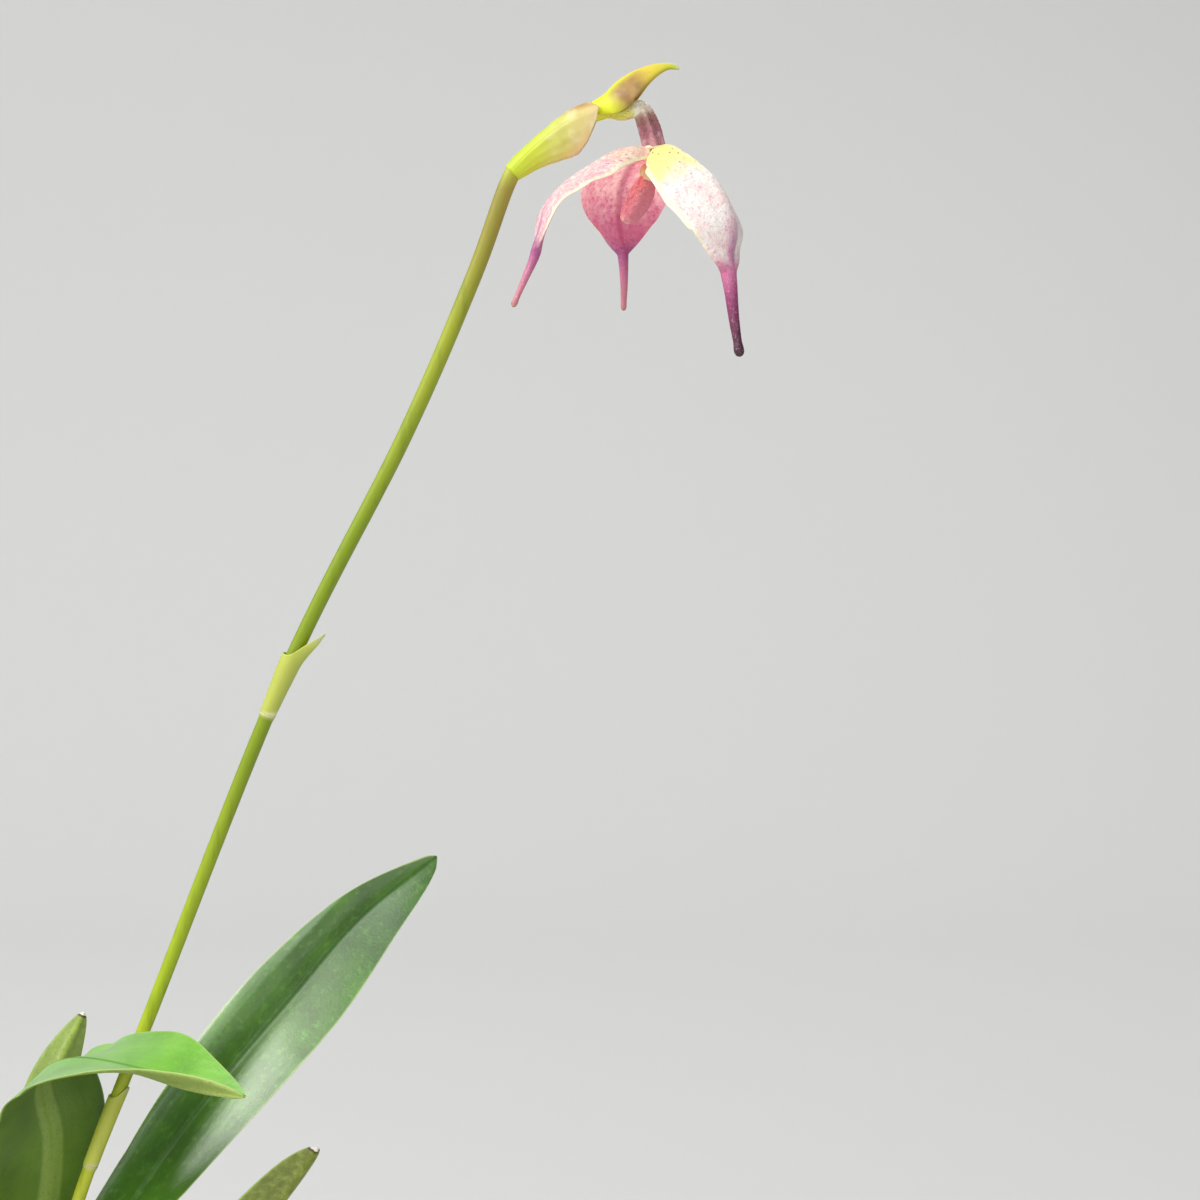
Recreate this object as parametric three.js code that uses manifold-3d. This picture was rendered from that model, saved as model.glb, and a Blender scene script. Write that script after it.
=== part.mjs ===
// A small orchid with one nodding, three-tailed flower, growing in moss in a round clay pot.
// Millimetres, +Z up. The origin is the middle of the pot's flat underside. The flower leans to +X,
// and the plant is looked at along +Y.
// Every stem and blade follows a spine: a smooth curve through a few points, measured by its length.

import * as THREE from "three";
import { mergeVertices } from "three/addons/utils/BufferGeometryUtils.js";
import Module from "manifold-3d";

const wasm = await Module();
wasm.setup();

// Driving dimensions

// Clearance between pieces that touch on the real plant.
const GAP = 0.3;

const POT = {
  height: 90,
  rimRadius: 50,
  footRadius: 34,
  wall: 4,
  floor: 5,
  bandHeight: 18,
  bandStep: 2.5,
  edge: 1.2,
  holes: 4,
  holeRadius: 5,
  holeCircle: 17,
  sides: 40,
};

// The moss ends this far below the rim, with low mounds on it.
const MOSS = { belowRim: 10, mounds: 34, moundRadius: [6, 11], moundHeight: [0.8, 2.6], rings: 9 };
const SOIL = POT.height - MOSS.belowRim;

// Stems are set this deep into the moss.
const ROOTED = 14;

// The flower stem, from its buried foot to the end of its axis inside the upper bract.
const SCAPE = {
  spine: [
    [3, -6, SOIL - ROOTED], [3.2, -6, SOIL + 4], [6.8, -4.6, 112], [14.3, -3.4, 140.3],
    [29.8, -4, 179.6], [56.8, -4, 246.4], [81.1, -5.5, 294.1], [95, -6.5, 325.4],
    [102.4, -7, 345], [107, -7, 350.4], [113.6, -7, 355.6], [121.4, -7, 358.3],
  ],
  footRadius: 1.2,
  topRadius: 1.65,
  steps: 52,
  sides: 8,
};

// Tubular bracts along the flower stem: heights of the joint, of the mouth and of the free tip, the
// side the tip is on, how far the mouth swells out and how far the tip stands off.
const STEM_BRACTS = [
  { joint: 147.5, mouth: 161.5, tip: 165.5, lean: [1, -0.4, 0.2], swell: 0.35, tipOut: 1.1 },
  { joint: 239.5, mouth: 251, tip: 257.5, lean: [1, -0.3, 0.1], swell: 0.4, tipOut: 2.3 },
];
const STEM_BRACT = { skin: 0.22, shift: 0.3, tipThick: 0.3, tipWide: 0.4, steps: 9, sides: 10 };

// The inflated bract at the top of the flower stem. Its mouth is cut back, most of all on the under side.
const POUCH = {
  spine: [[102.9, -7, 346.1], [107.3, -7, 350.4], [113.6, -7, 355], [121.1, -7, 358.3]],
  above: [1.9, 1.9, 2.1, 2.8, 2.6],
  below: [1.9, 3.5, 5.5, 6.2, 4.2],
  side: [1.9, 2.7, 3.5, 3.6, 3.2],
  wall: 0.6,
  cutBack: { under: 0.42, over: 0.14 },
  rows: 9,
  sides: 16,
};

// The folded, pointed bract over the end of the flower stem.
const HOOD = {
  spine: [[119.4, -7, 360.5], [121.4, -7, 361.3], [124.2, -7, 363.8], [128.4, -7, 366],
    [132.6, -7, 366.8], [135.4, -7, 366.1]],
  facing: [[0.42, 0, -0.9], [0.6, 0, -0.8], [0.2, 0, -1], [0, 0, -1]],
  width: { foot: 3.6, widest: 6.6, power: 0.62, fullness: 1.25, tip: 0.4 },
  fold: [[0, 118], [10, 80], [15, 70], [15, 60]],
  thickness: 0.6,
  keel: 0,
  rows: 12,
  columns: 10,
};

// The flower's short stalk and ribbed ovary, from the flower stem's end to the flower.
const OVARY = {
  spine: [[122.2, -7, 358], [124.4, -7, 357.7], [126.3, -7, 358.2], [128, -7, 358.2],
    [128.9, -7, 356.5], [129.8, -7, 354], [130.2, -7, 352.35]],
  radius: [1.5, 1.55, 1.65, 1.85, 2.15, 2.3, 2.3],
  ribs: 6,
  ribHeight: 0.12,
  steps: 16,
  sides: 12,
};

// The flower hangs open downwards. A sepal's midline is given as distance out and depth below the
// flower's centre; its last points are in its tail, which starts where the blade's length ends. Fold
// is the slope beside the midline and at the margin, from the sepal's foot to the tail.
const FLOWER = { centre: [130.5, -7, 351], hubRadius: 2.9, hubThickness: 1.1 };
const SEPALS = [
  {
    name: "dorsal", azimuth: -41, halfWidth: 11.6, blade: 36.2, tail: 1.55, knob: 1,
    fold: [[24, 60], [32, 42], [1, 35]],
    midline: [[0, 0], [3.9, -0.1], [6.9, 1.3], [10.5, 3.6], [14.6, 6.9], [17.7, 11.2], [19.3, 15.2],
      [19.4, 18.2], [18.5, 22.9], [19.2, 28], [20.1, 34], [21.5, 40.6]],
  },
  {
    name: "left", azimuth: 193.2, halfWidth: 9.2, blade: 34.5, tail: 1, knob: 0.5,
    fold: [[18, 71], [3, 37], [-4, 12], [-6, -1]],
    midline: [[0, 0], [4.8, 0.2], [8.5, 1.4], [11.6, 3.4], [15.3, 5.9], [18.9, 8.8], [21.4, 12.5],
      [22.7, 17.4], [24, 21.8], [25.9, 26], [28.1, 31]],
  },
  {
    name: "right", azimuth: 114.8, halfWidth: 10.2, blade: 31.4, tail: 1.12, knob: 0.2,
    fold: [[0, 46], [-5, 31], [-6, 40]],
    midline: [[0, 0], [5.2, 0.2], [11.2, 3], [15.3, 7.6], [16.3, 13.5], [14.3, 19.5], [13.6, 25.2],
      [13.8, 31.4]],
  },
];
const SEPAL = {
  start: 2,
  thickness: 0.65,
  rows: 22,
  columns: 8,
  // Where along its width curve the sepal starts, and the curve's shape.
  bornWide: 0.2,
  power: 1.5,
  fullness: 0.85,
  // The share of the blade past which it closes into its round tail, and the tail's size at its end.
  closesAt: 0.86,
  tailTaper: 0.45,
  tailTaperPower: 0.75,
  knobHeight: 0.25,
};

// The column with its two tiny petals, and the lip in front of the right sepal.
const COLUMN = {
  spine: [[130.4, -6.9, 350.1], [129.9, -6.6, 347.3], [129.2, -6.3, 344.8]],
  radius: [1.1, 1.15, 1.25, 0.9],
  petal: { out: 1.4, drop: 0.6, halfSize: [0.7, 0.7, 1.3], turn: 20 },
};
const LIP = {
  spine: [[129.8, -4.4, 346.6], [128.6, -3.4, 343.6], [126.8, -2.2, 340.2], [124.8, -1.2, 336.8]],
  facing: [[0.5, 0.85, 0.1], [0.45, 0.85, 0.25]],
  width: { foot: 1.2, widest: 2.7, power: 1.2, fullness: 0.6, tip: 0.6 },
  fold: [[20, 60], [10, 50], [10, 50]],
  thickness: 0.8,
  keel: 0.3,
  rows: 8,
  columns: 6,
};

// Leaves. The midrib runs from the buried foot to the tip, facing is where the upper side looks, from
// foot to tip, and fold is the blade's slope beside the midrib and at its margin, in degrees.
const LEAF = {
  stem: 26,
  stemRadius: 1.5,
  buriedExtra: 0.3,
  // Each papery sheath widens from its foot to its mouth, at these lengths along the stem.
  sheaths: [[12, 24], [25, 35]],
  sheathSwell: 0.45,
  petiole: 1.7,
  thickness: 0.7,
  keel: 0.7,
  footFold: [62, 62],
};
const LEAVES = [
  {
    name: "right_tall",
    halfWidth: 12.7,
    power: 1.07,
    fullness: 0.59,
    wave: 0.6,
    waves: 2.5,
    rows: 20,
    columns: 8,
    midrib: [[6, 5, SOIL - ROOTED], [6.2, 5, SOIL + 4], [10.7, 5.5, 114.8], [24.3, 6.6, 138.1],
      [39.3, 12.8, 158.2], [55.1, 18.3, 176.6], [69.6, 26.4, 192.6], [85.1, 33.7, 204]],
    facing: [[-0.35, -0.93, 0.12], [-0.16, -0.9, 0.4], [0.21, -0.88, 0.43], [0.59, -0.8, -0.1]],
    fold: [[37, 31], [31, 24], [22, 15]],
    foldOther: [[61, 61], [38, 40], [34, 30]],
  },
  {
    name: "front_bent",
    halfWidth: 14.4,
    power: 1.22,
    fullness: 0.82,
    wave: 0.3,
    waves: 2,
    rows: 28,
    columns: 8,
    midrib: [[-3, 2, SOIL - ROOTED], [-2.6, 2, SOIL + 4], [1, 2, 112], [6.3, -0.6, 134.6],
      [8.9, -5.6, 153.4], [7.7, -9.3, 166.3], [15.4, -15.3, 172.7], [29.1, -23.7, 173.1],
      [42.1, -33.9, 171.9], [53.6, -42.8, 172.3]],
    facing: [[-0.27, 0.96, 0.03], [-0.31, 0.95, 0.04], [-0.42, 0.9, 0.12], [-0.54, 0.78, 0.3],
      [-0.48, 0.37, 0.79], [-0.84, 0.34, 0.42], [-0.28, -0.04, 0.96], [-0.18, 0.01, 0.98], [0.05, 0, 1],
      [0.12, 0.12, 0.99]],
    fold: [[13, 13], [-8, -7], [-8, -7], [21, 20], [51, 54]],
    foldOther: [[11, 14], [-7, 1], [-31, 10], [26, 33], [55, 60]],
  },
  {
    name: "back_left",
    halfWidth: 7.1,
    power: 1.03,
    fullness: 0.66,
    wave: 0.3,
    waves: 2,
    rows: 14,
    columns: 6,
    midrib: [[-7, 9, SOIL - ROOTED], [-7, 9.4, SOIL + 4], [-3.5, 13, 109.9], [0.4, 16, 134.4],
      [4.4, 18.9, 156.4], [11.3, 21.6, 173]],
    facing: [[0.03, 0.99, 0.14], [-0.04, 0.99, 0.12], [-0.17, 0.96, 0.21]],
    fold: [[30, 27], [29, 27], [23, 21]],
    foldOther: [[30, 27], [28, 26], [24, 23]],
  },
  {
    name: "front_right",
    halfWidth: 8.8,
    power: 1.14,
    fullness: 0.61,
    wave: 0.3,
    waves: 2,
    rows: 14,
    columns: 6,
    midrib: [[9, -3, SOIL - ROOTED], [9.2, -3.2, SOIL + 4], [21.2, -7.1, 98.9], [33.5, -11.1, 114.1],
      [45.7, -15.4, 129.1], [56, -20.3, 144.1], [65.2, -26.4, 157.9]],
    facing: [[-0.82, 0.44, 0.37], [-0.65, 0.43, 0.62], [-0.37, 0.67, 0.64]],
    fold: [[29, 26], [23, 21], [33, 30]],
    foldOther: [[30, 27], [32, 30], [29, 26]],
  },
  {
    name: "left_long",
    halfWidth: 10.5,
    power: 1.15,
    fullness: 0.7,
    wave: 0.5,
    waves: 2.5,
    rows: 14,
    columns: 6,
    midrib: [[-12, -1, SOIL - ROOTED], [-12.2, -1, SOIL + 4], [-17, -2, 108], [-28, -4, 136],
      [-46, -7, 160], [-70, -10, 174]],
    facing: [[0.9, 0, 0.3], [0.75, 0, 0.6], [0.45, -0.1, 0.85]],
    fold: [[34, 30], [30, 24], [28, 22]],
  },
  {
    name: "left_front",
    halfWidth: 10,
    power: 1.15,
    fullness: 0.7,
    wave: 0.4,
    waves: 2,
    rows: 14,
    columns: 6,
    midrib: [[-6, -8, SOIL - ROOTED], [-6.2, -8.4, SOIL + 4], [-11, -15, 106], [-21, -27, 131],
      [-35, -38, 149], [-52, -48, 154]],
    facing: [[0.5, 0.7, 0.3], [0.45, 0.5, 0.7], [0.25, 0.2, 0.95]],
    fold: [[34, 30], [28, 24], [26, 22]],
  },
  {
    name: "back_tall",
    halfWidth: 10.5,
    power: 1.1,
    fullness: 0.7,
    wave: 0.5,
    waves: 2.5,
    rows: 14,
    columns: 6,
    midrib: [[-2, 13, SOIL - ROOTED], [-2.4, 13.6, SOIL + 4], [-10, 20, 112], [-21, 27, 144],
      [-32, 34, 176], [-45, 40, 203]],
    facing: [[0.4, -0.8, 0.3], [0.5, -0.7, 0.4], [0.5, -0.6, 0.5]],
    fold: [[34, 30], [30, 24], [28, 22]],
  },
  {
    name: "back_right",
    halfWidth: 9,
    power: 1.1,
    fullness: 0.7,
    wave: 0.4,
    waves: 2,
    rows: 12,
    columns: 6,
    midrib: [[8, 13, SOIL - ROOTED], [8.3, 13.4, SOIL + 4], [17, 21, 101], [30, 31, 113], [47, 42, 116]],
    facing: [[-0.6, -0.5, 0.4], [-0.4, -0.3, 0.85], [-0.15, -0.1, 0.98]],
    fold: [[32, 28], [28, 22], [26, 22]],
  },
  {
    name: "young_front",
    halfWidth: 7.5,
    power: 1.1,
    fullness: 0.7,
    wave: 0.2,
    waves: 1.5,
    rows: 12,
    columns: 6,
    midrib: [[1, -15, SOIL - ROOTED], [1.3, -15.4, SOIL + 4], [6, -22, 99], [14, -31, 110], [26, -41, 113]],
    facing: [[-0.4, 0.7, 0.4], [-0.3, 0.4, 0.85], [-0.1, 0.15, 0.98]],
    fold: [[32, 28], [28, 22], [26, 22]],
  },
];

// Colour and roughness of each kind of surface.
const FINISH = {
  clay: [0xb5653f, 0.85],
  moss: [0x5f6b2c, 0.95],
  leaf: [0x3f7d1c, 0.4],
  leafStem: [0x7d8a4a, 0.6],
  scape: [0x8fa32a, 0.5],
  bract: [0xb4c045, 0.55],
  ovary: [0x8c4a5e, 0.5],
  sepal: [0xe3b3c4, 0.55],
  lip: [0xd9808a, 0.5],
  column: [0xf0dca0, 0.5],
};

// Vectors and lists

const vector = (xyz) => new THREE.Vector3(...xyz);
const radians = THREE.MathUtils.degToRad;
const mix = THREE.MathUtils.lerp;
const smoothstep = THREE.MathUtils.smoothstep;

// The value at fraction t of a list whose entries stand at equal steps; entries may be lists.
function between(list, t) {
  const place = THREE.MathUtils.clamp(t, 0, 1) * (list.length - 1);
  const first = Math.min(Math.floor(place), list.length - 2);
  const part = place - first;
  const [a, b] = [list[first], list[first + 1]];
  return Array.isArray(a) ? a.map((value, k) => mix(value, b[k], part)) : mix(a, b, part);
}

// A spine gives the point and direction at a length along a smooth curve, and runs on straight
// past both ends.
function spineThrough(points) {
  const curve = new THREE.CatmullRomCurve3(points.map(vector), false, "catmullrom", 0.5);
  curve.arcLengthDivisions = 400;
  const length = curve.getLength();
  const direction = (s) => curve.getTangentAt(THREE.MathUtils.clamp(s / length, 0, 1));
  const point = (s) => {
    const inside = THREE.MathUtils.clamp(s, 0, length);
    return curve.getPointAt(inside / length).addScaledVector(direction(s), s - inside);
  };
  const parameter = (s) => curve.getUtoTmapping(THREE.MathUtils.clamp(s / length, 0, 1));
  return { length, direction, point, parameter };
}

// The length along a rising spine at which it reaches a height.
function lengthAtHeight(spine, height) {
  let [low, high] = [0, spine.length];
  for (let turn = 0; turn < 40; turn++) {
    const middle = (low + high) / 2;
    if (spine.point(middle).z < height) low = middle;
    else high = middle;
  }
  return low;
}

// Across and facing directions square to a spine's direction.
function squareTo(direction, facing) {
  const face = facing.clone().addScaledVector(direction, -facing.dot(direction)).normalize();
  return { face, across: direction.clone().cross(face).normalize() };
}

// Closed bodies

// A geometry from points and triangles that close on themselves, turned to face outwards.
function closedGeometry(points, triangles) {
  let volume = 0;
  for (let i = 0; i < triangles.length; i += 3) {
    const [a, b, c] = [points[triangles[i]], points[triangles[i + 1]], points[triangles[i + 2]]];
    volume += a.dot(b.clone().cross(c));
  }
  if (volume < 0) triangles.reverse();
  const geometry = new THREE.BufferGeometry();
  const positions = points.flatMap((point) => point.toArray());
  geometry.setAttribute("position", new THREE.Float32BufferAttribute(positions, 3));
  geometry.setIndex(triangles);
  return geometry;
}

// A thin plate between an upper and an under face. faceAt(t, v) gives both points at fraction t of
// its length and v from -1 to 1 across. Both faces are split into the same triangles.
function plateGeometry(rows, columns, faceAt) {
  const points = [];
  for (let i = 0; i <= rows; i++) {
    for (let j = 0; j <= columns; j++) points.push(...faceAt(i / rows, (2 * j) / columns - 1));
  }
  const at = (i, j, side) => 2 * (i * (columns + 1) + j) + side;
  const triangles = [];
  const quad = (a, b, c, d) => triangles.push(a, b, c, a, c, d);
  for (let i = 0; i < rows; i++) {
    for (let j = 0; j < columns; j++) {
      const [a, b, c, d] = [at(i, j, 0), at(i + 1, j, 0), at(i + 1, j + 1, 0), at(i, j + 1, 0)];
      quad(a, b, c, d);
      triangles.push(a + 1, c + 1, b + 1, a + 1, d + 1, c + 1);
    }
  }
  for (let i = 0; i < rows; i++) {
    quad(at(i + 1, 0, 0), at(i, 0, 0), at(i, 0, 1), at(i + 1, 0, 1));
    quad(at(i, columns, 0), at(i + 1, columns, 0), at(i + 1, columns, 1), at(i, columns, 1));
  }
  for (let j = 0; j < columns; j++) {
    quad(at(0, j, 0), at(0, j + 1, 0), at(0, j + 1, 1), at(0, j, 1));
    quad(at(rows, j + 1, 0), at(rows, j, 0), at(rows, j, 1), at(rows, j + 1, 1));
  }
  return closedGeometry(points, triangles);
}

// A skin over rings of equal count. It is capped at both ends, or runs back to its first ring.
function ringsGeometry(rings, runsBack = false) {
  const sides = rings[0].length;
  const points = rings.flat();
  const triangles = [];
  const spans = runsBack ? rings.length : rings.length - 1;
  for (let i = 0; i < spans; i++) {
    const here = i * sides;
    const next = ((i + 1) % rings.length) * sides;
    for (let k = 0; k < sides; k++) {
      const k2 = (k + 1) % sides;
      triangles.push(here + k, here + k2, next + k2, here + k, next + k2, next + k);
    }
  }
  if (!runsBack) {
    for (const [ring, start] of [[rings[0], 0], [rings.at(-1), (rings.length - 1) * sides]]) {
      const middle = ring.reduce((sum, point) => sum.add(point), new THREE.Vector3());
      const hub = points.push(middle.divideScalar(sides)) - 1;
      for (let k = 0; k < sides; k++) {
        const k2 = (k + 1) % sides;
        triangles.push(...(start === 0 ? [hub, start + k2, start + k] : [hub, start + k, start + k2]));
      }
    }
  }
  return closedGeometry(points, triangles);
}

// A round tube along a spine from one length to another, with a radius that may change.
function tubeGeometry(spine, from, to, { steps, sides, facing, radiusAt }) {
  const rings = [];
  for (let i = 0; i <= steps; i++) {
    const s = mix(from, to, i / steps);
    const { face, across } = squareTo(spine.direction(s), facing);
    const ring = [];
    for (let k = 0; k < sides; k++) {
      const angle = (2 * Math.PI * k) / sides;
      const radius = radiusAt(s, angle);
      const out = face.clone().multiplyScalar(radius * Math.cos(angle));
      ring.push(spine.point(s).add(out).addScaledVector(across, radius * Math.sin(angle)));
    }
    rings.push(ring);
  }
  return ringsGeometry(rings);
}

// Joining and cutting

function solidOf(geometry) {
  const bare = geometry.clone();
  bare.deleteAttribute("normal");
  bare.deleteAttribute("uv");
  const merged = mergeVertices(bare, 1e-4);
  const vertProperties = merged.attributes.position.array;
  const triVerts = new Uint32Array(merged.index.array);
  return new wasm.Manifold(new wasm.Mesh({ numProp: 3, vertProperties, triVerts }));
}

function geometryOf(solid) {
  const { vertProperties, triVerts } = solid.getMesh();
  const geometry = new THREE.BufferGeometry();
  geometry.setAttribute("position", new THREE.Float32BufferAttribute(vertProperties, 3));
  geometry.setIndex(Array.from(triVerts));
  return geometry;
}

const joined = (geometries) => geometryOf(geometries.map(solidOf).reduce((all, next) => all.add(next)));
const cut = (geometry, cutters) =>
  geometryOf(cutters.map(solidOf).reduce((left, cutter) => left.subtract(cutter), solidOf(geometry)));

// Meshes

const orchid = new THREE.Group();

function place(name, geometry, [color, roughness]) {
  const material = new THREE.MeshStandardMaterial({ color, roughness, metalness: 0 });
  const mesh = new THREE.Mesh(geometry, material);
  mesh.name = name;
  orchid.add(mesh);
}

// A round body turned about the upright axis, from a profile of [radius, height] points.
const turned = (profile, sides) =>
  new THREE.LatheGeometry(profile.map(([r, z]) => new THREE.Vector2(r, z)), sides).rotateX(Math.PI / 2);

// Blades: leaves, the hood and the lip

// Half width at fraction t: the foot's width fades out while the blade widens and narrows again.
function bladeHalfWidth({ foot, widest, power, fullness, tip }, t) {
  const blade = widest * Math.sin(Math.PI * t ** power) ** fullness;
  return Math.hypot(mix(foot, tip, t), t < 1 ? blade : 0);
}

// The section bends evenly from one slope at the middle to another at the margin. Returned are how
// far out, how far up, and the slope there, for a half of unit width.
function bentSection([inner, outer], reach) {
  const [first, last] = [radians(inner), radians(Math.abs(outer - inner) < 0.5 ? inner + 0.5 : outer)];
  const slope = mix(first, last, reach);
  const turn = last - first;
  const out = (Math.sin(slope) - Math.sin(first)) / turn;
  const up = (Math.cos(first) - Math.cos(slope)) / turn;
  return { out, up, slope };
}

// A folded blade along a spine: its upper face is the spine's own surface, and its thickness, with
// a keel along the middle, is on the under side.
function bladeGeometry(spine, from, form) {
  const { facing, width, fold, foldOther = fold, thickness, keel } = form;
  const { rows, columns, wave = 0, waves = 0 } = form;
  return plateGeometry(rows, columns, (t, v) => {
    const s = mix(from, spine.length, t);
    const { face, across } = squareTo(spine.direction(s), vector(between(facing, spine.parameter(s))));
    const half = bladeHalfWidth(width, t);
    const side = Math.sign(v);
    const { out, up, slope } = bentSection(between(v < 0 ? foldOther : fold, t), Math.abs(v));
    const phase = 2 * Math.PI * waves * t + (side > 0 ? 0 : 2);
    const ripple = wave * v * v * Math.sin(Math.PI * t) * Math.sin(phase);
    const upper = spine.point(s);
    upper.addScaledVector(across, side * out * half).addScaledVector(face, up * half + ripple);
    const normal = face.clone().multiplyScalar(Math.cos(slope));
    normal.addScaledVector(across, -side * Math.sin(slope));
    if (side === 0) normal.copy(face);
    const depth = thickness + keel * Math.exp(-((v / 0.2) ** 2));
    return [upper, upper.clone().addScaledVector(normal, -depth)];
  });
}

// Leaf stems: a slim stalk in two papery sheaths, each widening to its mouth.
function stemRadius(s) {
  const swell = ([foot, mouth]) => smoothstep(s, foot, mouth) * (1 - smoothstep(s, mouth, mouth + 1.2));
  const sheaths = LEAF.sheaths.reduce((sum, sheath) => sum + swell(sheath), 0);
  const thickening = LEAF.buriedExtra * (1 - smoothstep(s, 0, ROOTED + 10));
  return LEAF.stemRadius + thickening + LEAF.sheathSwell * sheaths;
}

const stemSolid = (spine, extra) =>
  tubeGeometry(spine, -extra, ROOTED + LEAF.stem, {
    steps: 12,
    sides: 8,
    facing: vector([0, 1, 0]),
    radiusAt: (s) => stemRadius(s) + extra,
  });

const stemCutters = [];
for (const leaf of LEAVES) {
  const spine = spineThrough(leaf.midrib);
  place(`stem_${leaf.name}`, stemSolid(spine, 0), FINISH.leafStem);
  stemCutters.push(stemSolid(spine, GAP));
  const blade = bladeGeometry(spine, ROOTED + LEAF.stem + GAP, {
    ...LEAF,
    ...leaf,
    width: {
      foot: LEAF.petiole,
      widest: leaf.halfWidth,
      power: leaf.power,
      fullness: leaf.fullness,
      tip: 0.4,
    },
    fold: [LEAF.footFold, ...leaf.fold],
    foldOther: [LEAF.footFold, ...(leaf.foldOther ?? leaf.fold)],
  });
  place(`leaf_${leaf.name}`, blade, FINISH.leaf);
}

// The flower stem with its two tubular bracts

const scapeSpine = spineThrough(SCAPE.spine);
const scapeRadius = (s) => mix(SCAPE.footRadius, SCAPE.topRadius, s / scapeSpine.length);
const scapeTube = (from, extra) =>
  tubeGeometry(scapeSpine, from, scapeSpine.length, {
    steps: SCAPE.steps,
    sides: SCAPE.sides,
    facing: vector([0, 1, 0]),
    radiusAt: (s) => scapeRadius(s) + extra,
  });

// A bract hugs the stem from its joint, swells to its mouth, and leaves it in a free tip.
function stemBract({ joint, mouth, tip, lean, swell, tipOut }) {
  const { skin, shift, tipThick, tipWide, steps, sides } = STEM_BRACT;
  const [start, middle, end] = [joint, mouth, tip].map((z) => lengthAtHeight(scapeSpine, z));
  const rings = [];
  for (let i = 0; i <= steps; i++) {
    const s = mix(start, end, i / steps);
    const open = smoothstep(s, start, middle);
    const free = smoothstep(s, middle - 1, end);
    const { face, across } = squareTo(scapeSpine.direction(s), vector(lean));
    const centre = scapeSpine.point(s).addScaledVector(face, shift * open + tipOut * free);
    const full = scapeRadius(s) + skin + swell * open;
    const out = face.multiplyScalar(mix(full, tipThick, free));
    const aside = across.multiplyScalar(mix(full, tipWide, free));
    const ring = [];
    for (let k = 0; k < sides; k++) {
      const angle = (2 * Math.PI * k) / sides;
      const point = centre.clone().addScaledVector(out, Math.cos(angle));
      ring.push(point.addScaledVector(aside, Math.sin(angle)));
    }
    rings.push(ring);
  }
  return ringsGeometry(rings);
}

place("scape", joined([scapeTube(0, 0), ...STEM_BRACTS.map(stemBract)]), FINISH.scape);

// The inflated lower floral bract: an open shell whose rings lean back towards its under side

function pouchRings(inset) {
  const spine = spineThrough(POUCH.spine);
  const rings = [];
  for (let i = 0; i <= POUCH.rows; i++) {
    const t = i / POUCH.rows;
    const ring = [];
    for (let k = 0; k < POUCH.sides; k++) {
      const angle = (2 * Math.PI * k) / POUCH.sides;
      const [down, sideways] = [Math.cos(angle), Math.sin(angle)];
      const { under, over } = POUCH.cutBack;
      const s = spine.length * t * (1 - under * (0.5 + 0.5 * down) ** 3 - over * (0.5 - 0.5 * down) ** 3);
      const { face, across } = squareTo(spine.direction(s), vector([0.3, 0, -1]));
      const reach = between(down > 0 ? POUCH.below : POUCH.above, s / spine.length) - inset;
      const half = between(POUCH.side, s / spine.length) - inset;
      const point = spine.point(s).addScaledVector(face, reach * down);
      ring.push(point.addScaledVector(across, half * sideways));
    }
    rings.push(ring);
  }
  return rings;
}

const pouch = ringsGeometry([...pouchRings(0), ...pouchRings(POUCH.wall).reverse()], true);
place("floral_bract_lower", cut(pouch, [scapeTube(0, GAP)]), FINISH.bract);

place("floral_bract_upper", bladeGeometry(spineThrough(HOOD.spine), 0, HOOD), FINISH.bract);

// Stalk and ovary

const ovarySpine = spineThrough(OVARY.spine);
const ovary = tubeGeometry(ovarySpine, 0, ovarySpine.length, {
  steps: OVARY.steps,
  sides: OVARY.sides,
  facing: vector([0, 1, 0]),
  radiusAt: (s, angle) => {
    const t = s / ovarySpine.length;
    const rib = OVARY.ribHeight * smoothstep(t, 0.3, 0.6) * Math.cos(OVARY.ribs * angle);
    return between(OVARY.radius, t) + rib;
  },
});
place("ovary", ovary, FINISH.ovary);

// The flower

const flowerCentre = vector(FLOWER.centre);
const down = vector([0, 0, -1]);

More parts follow.
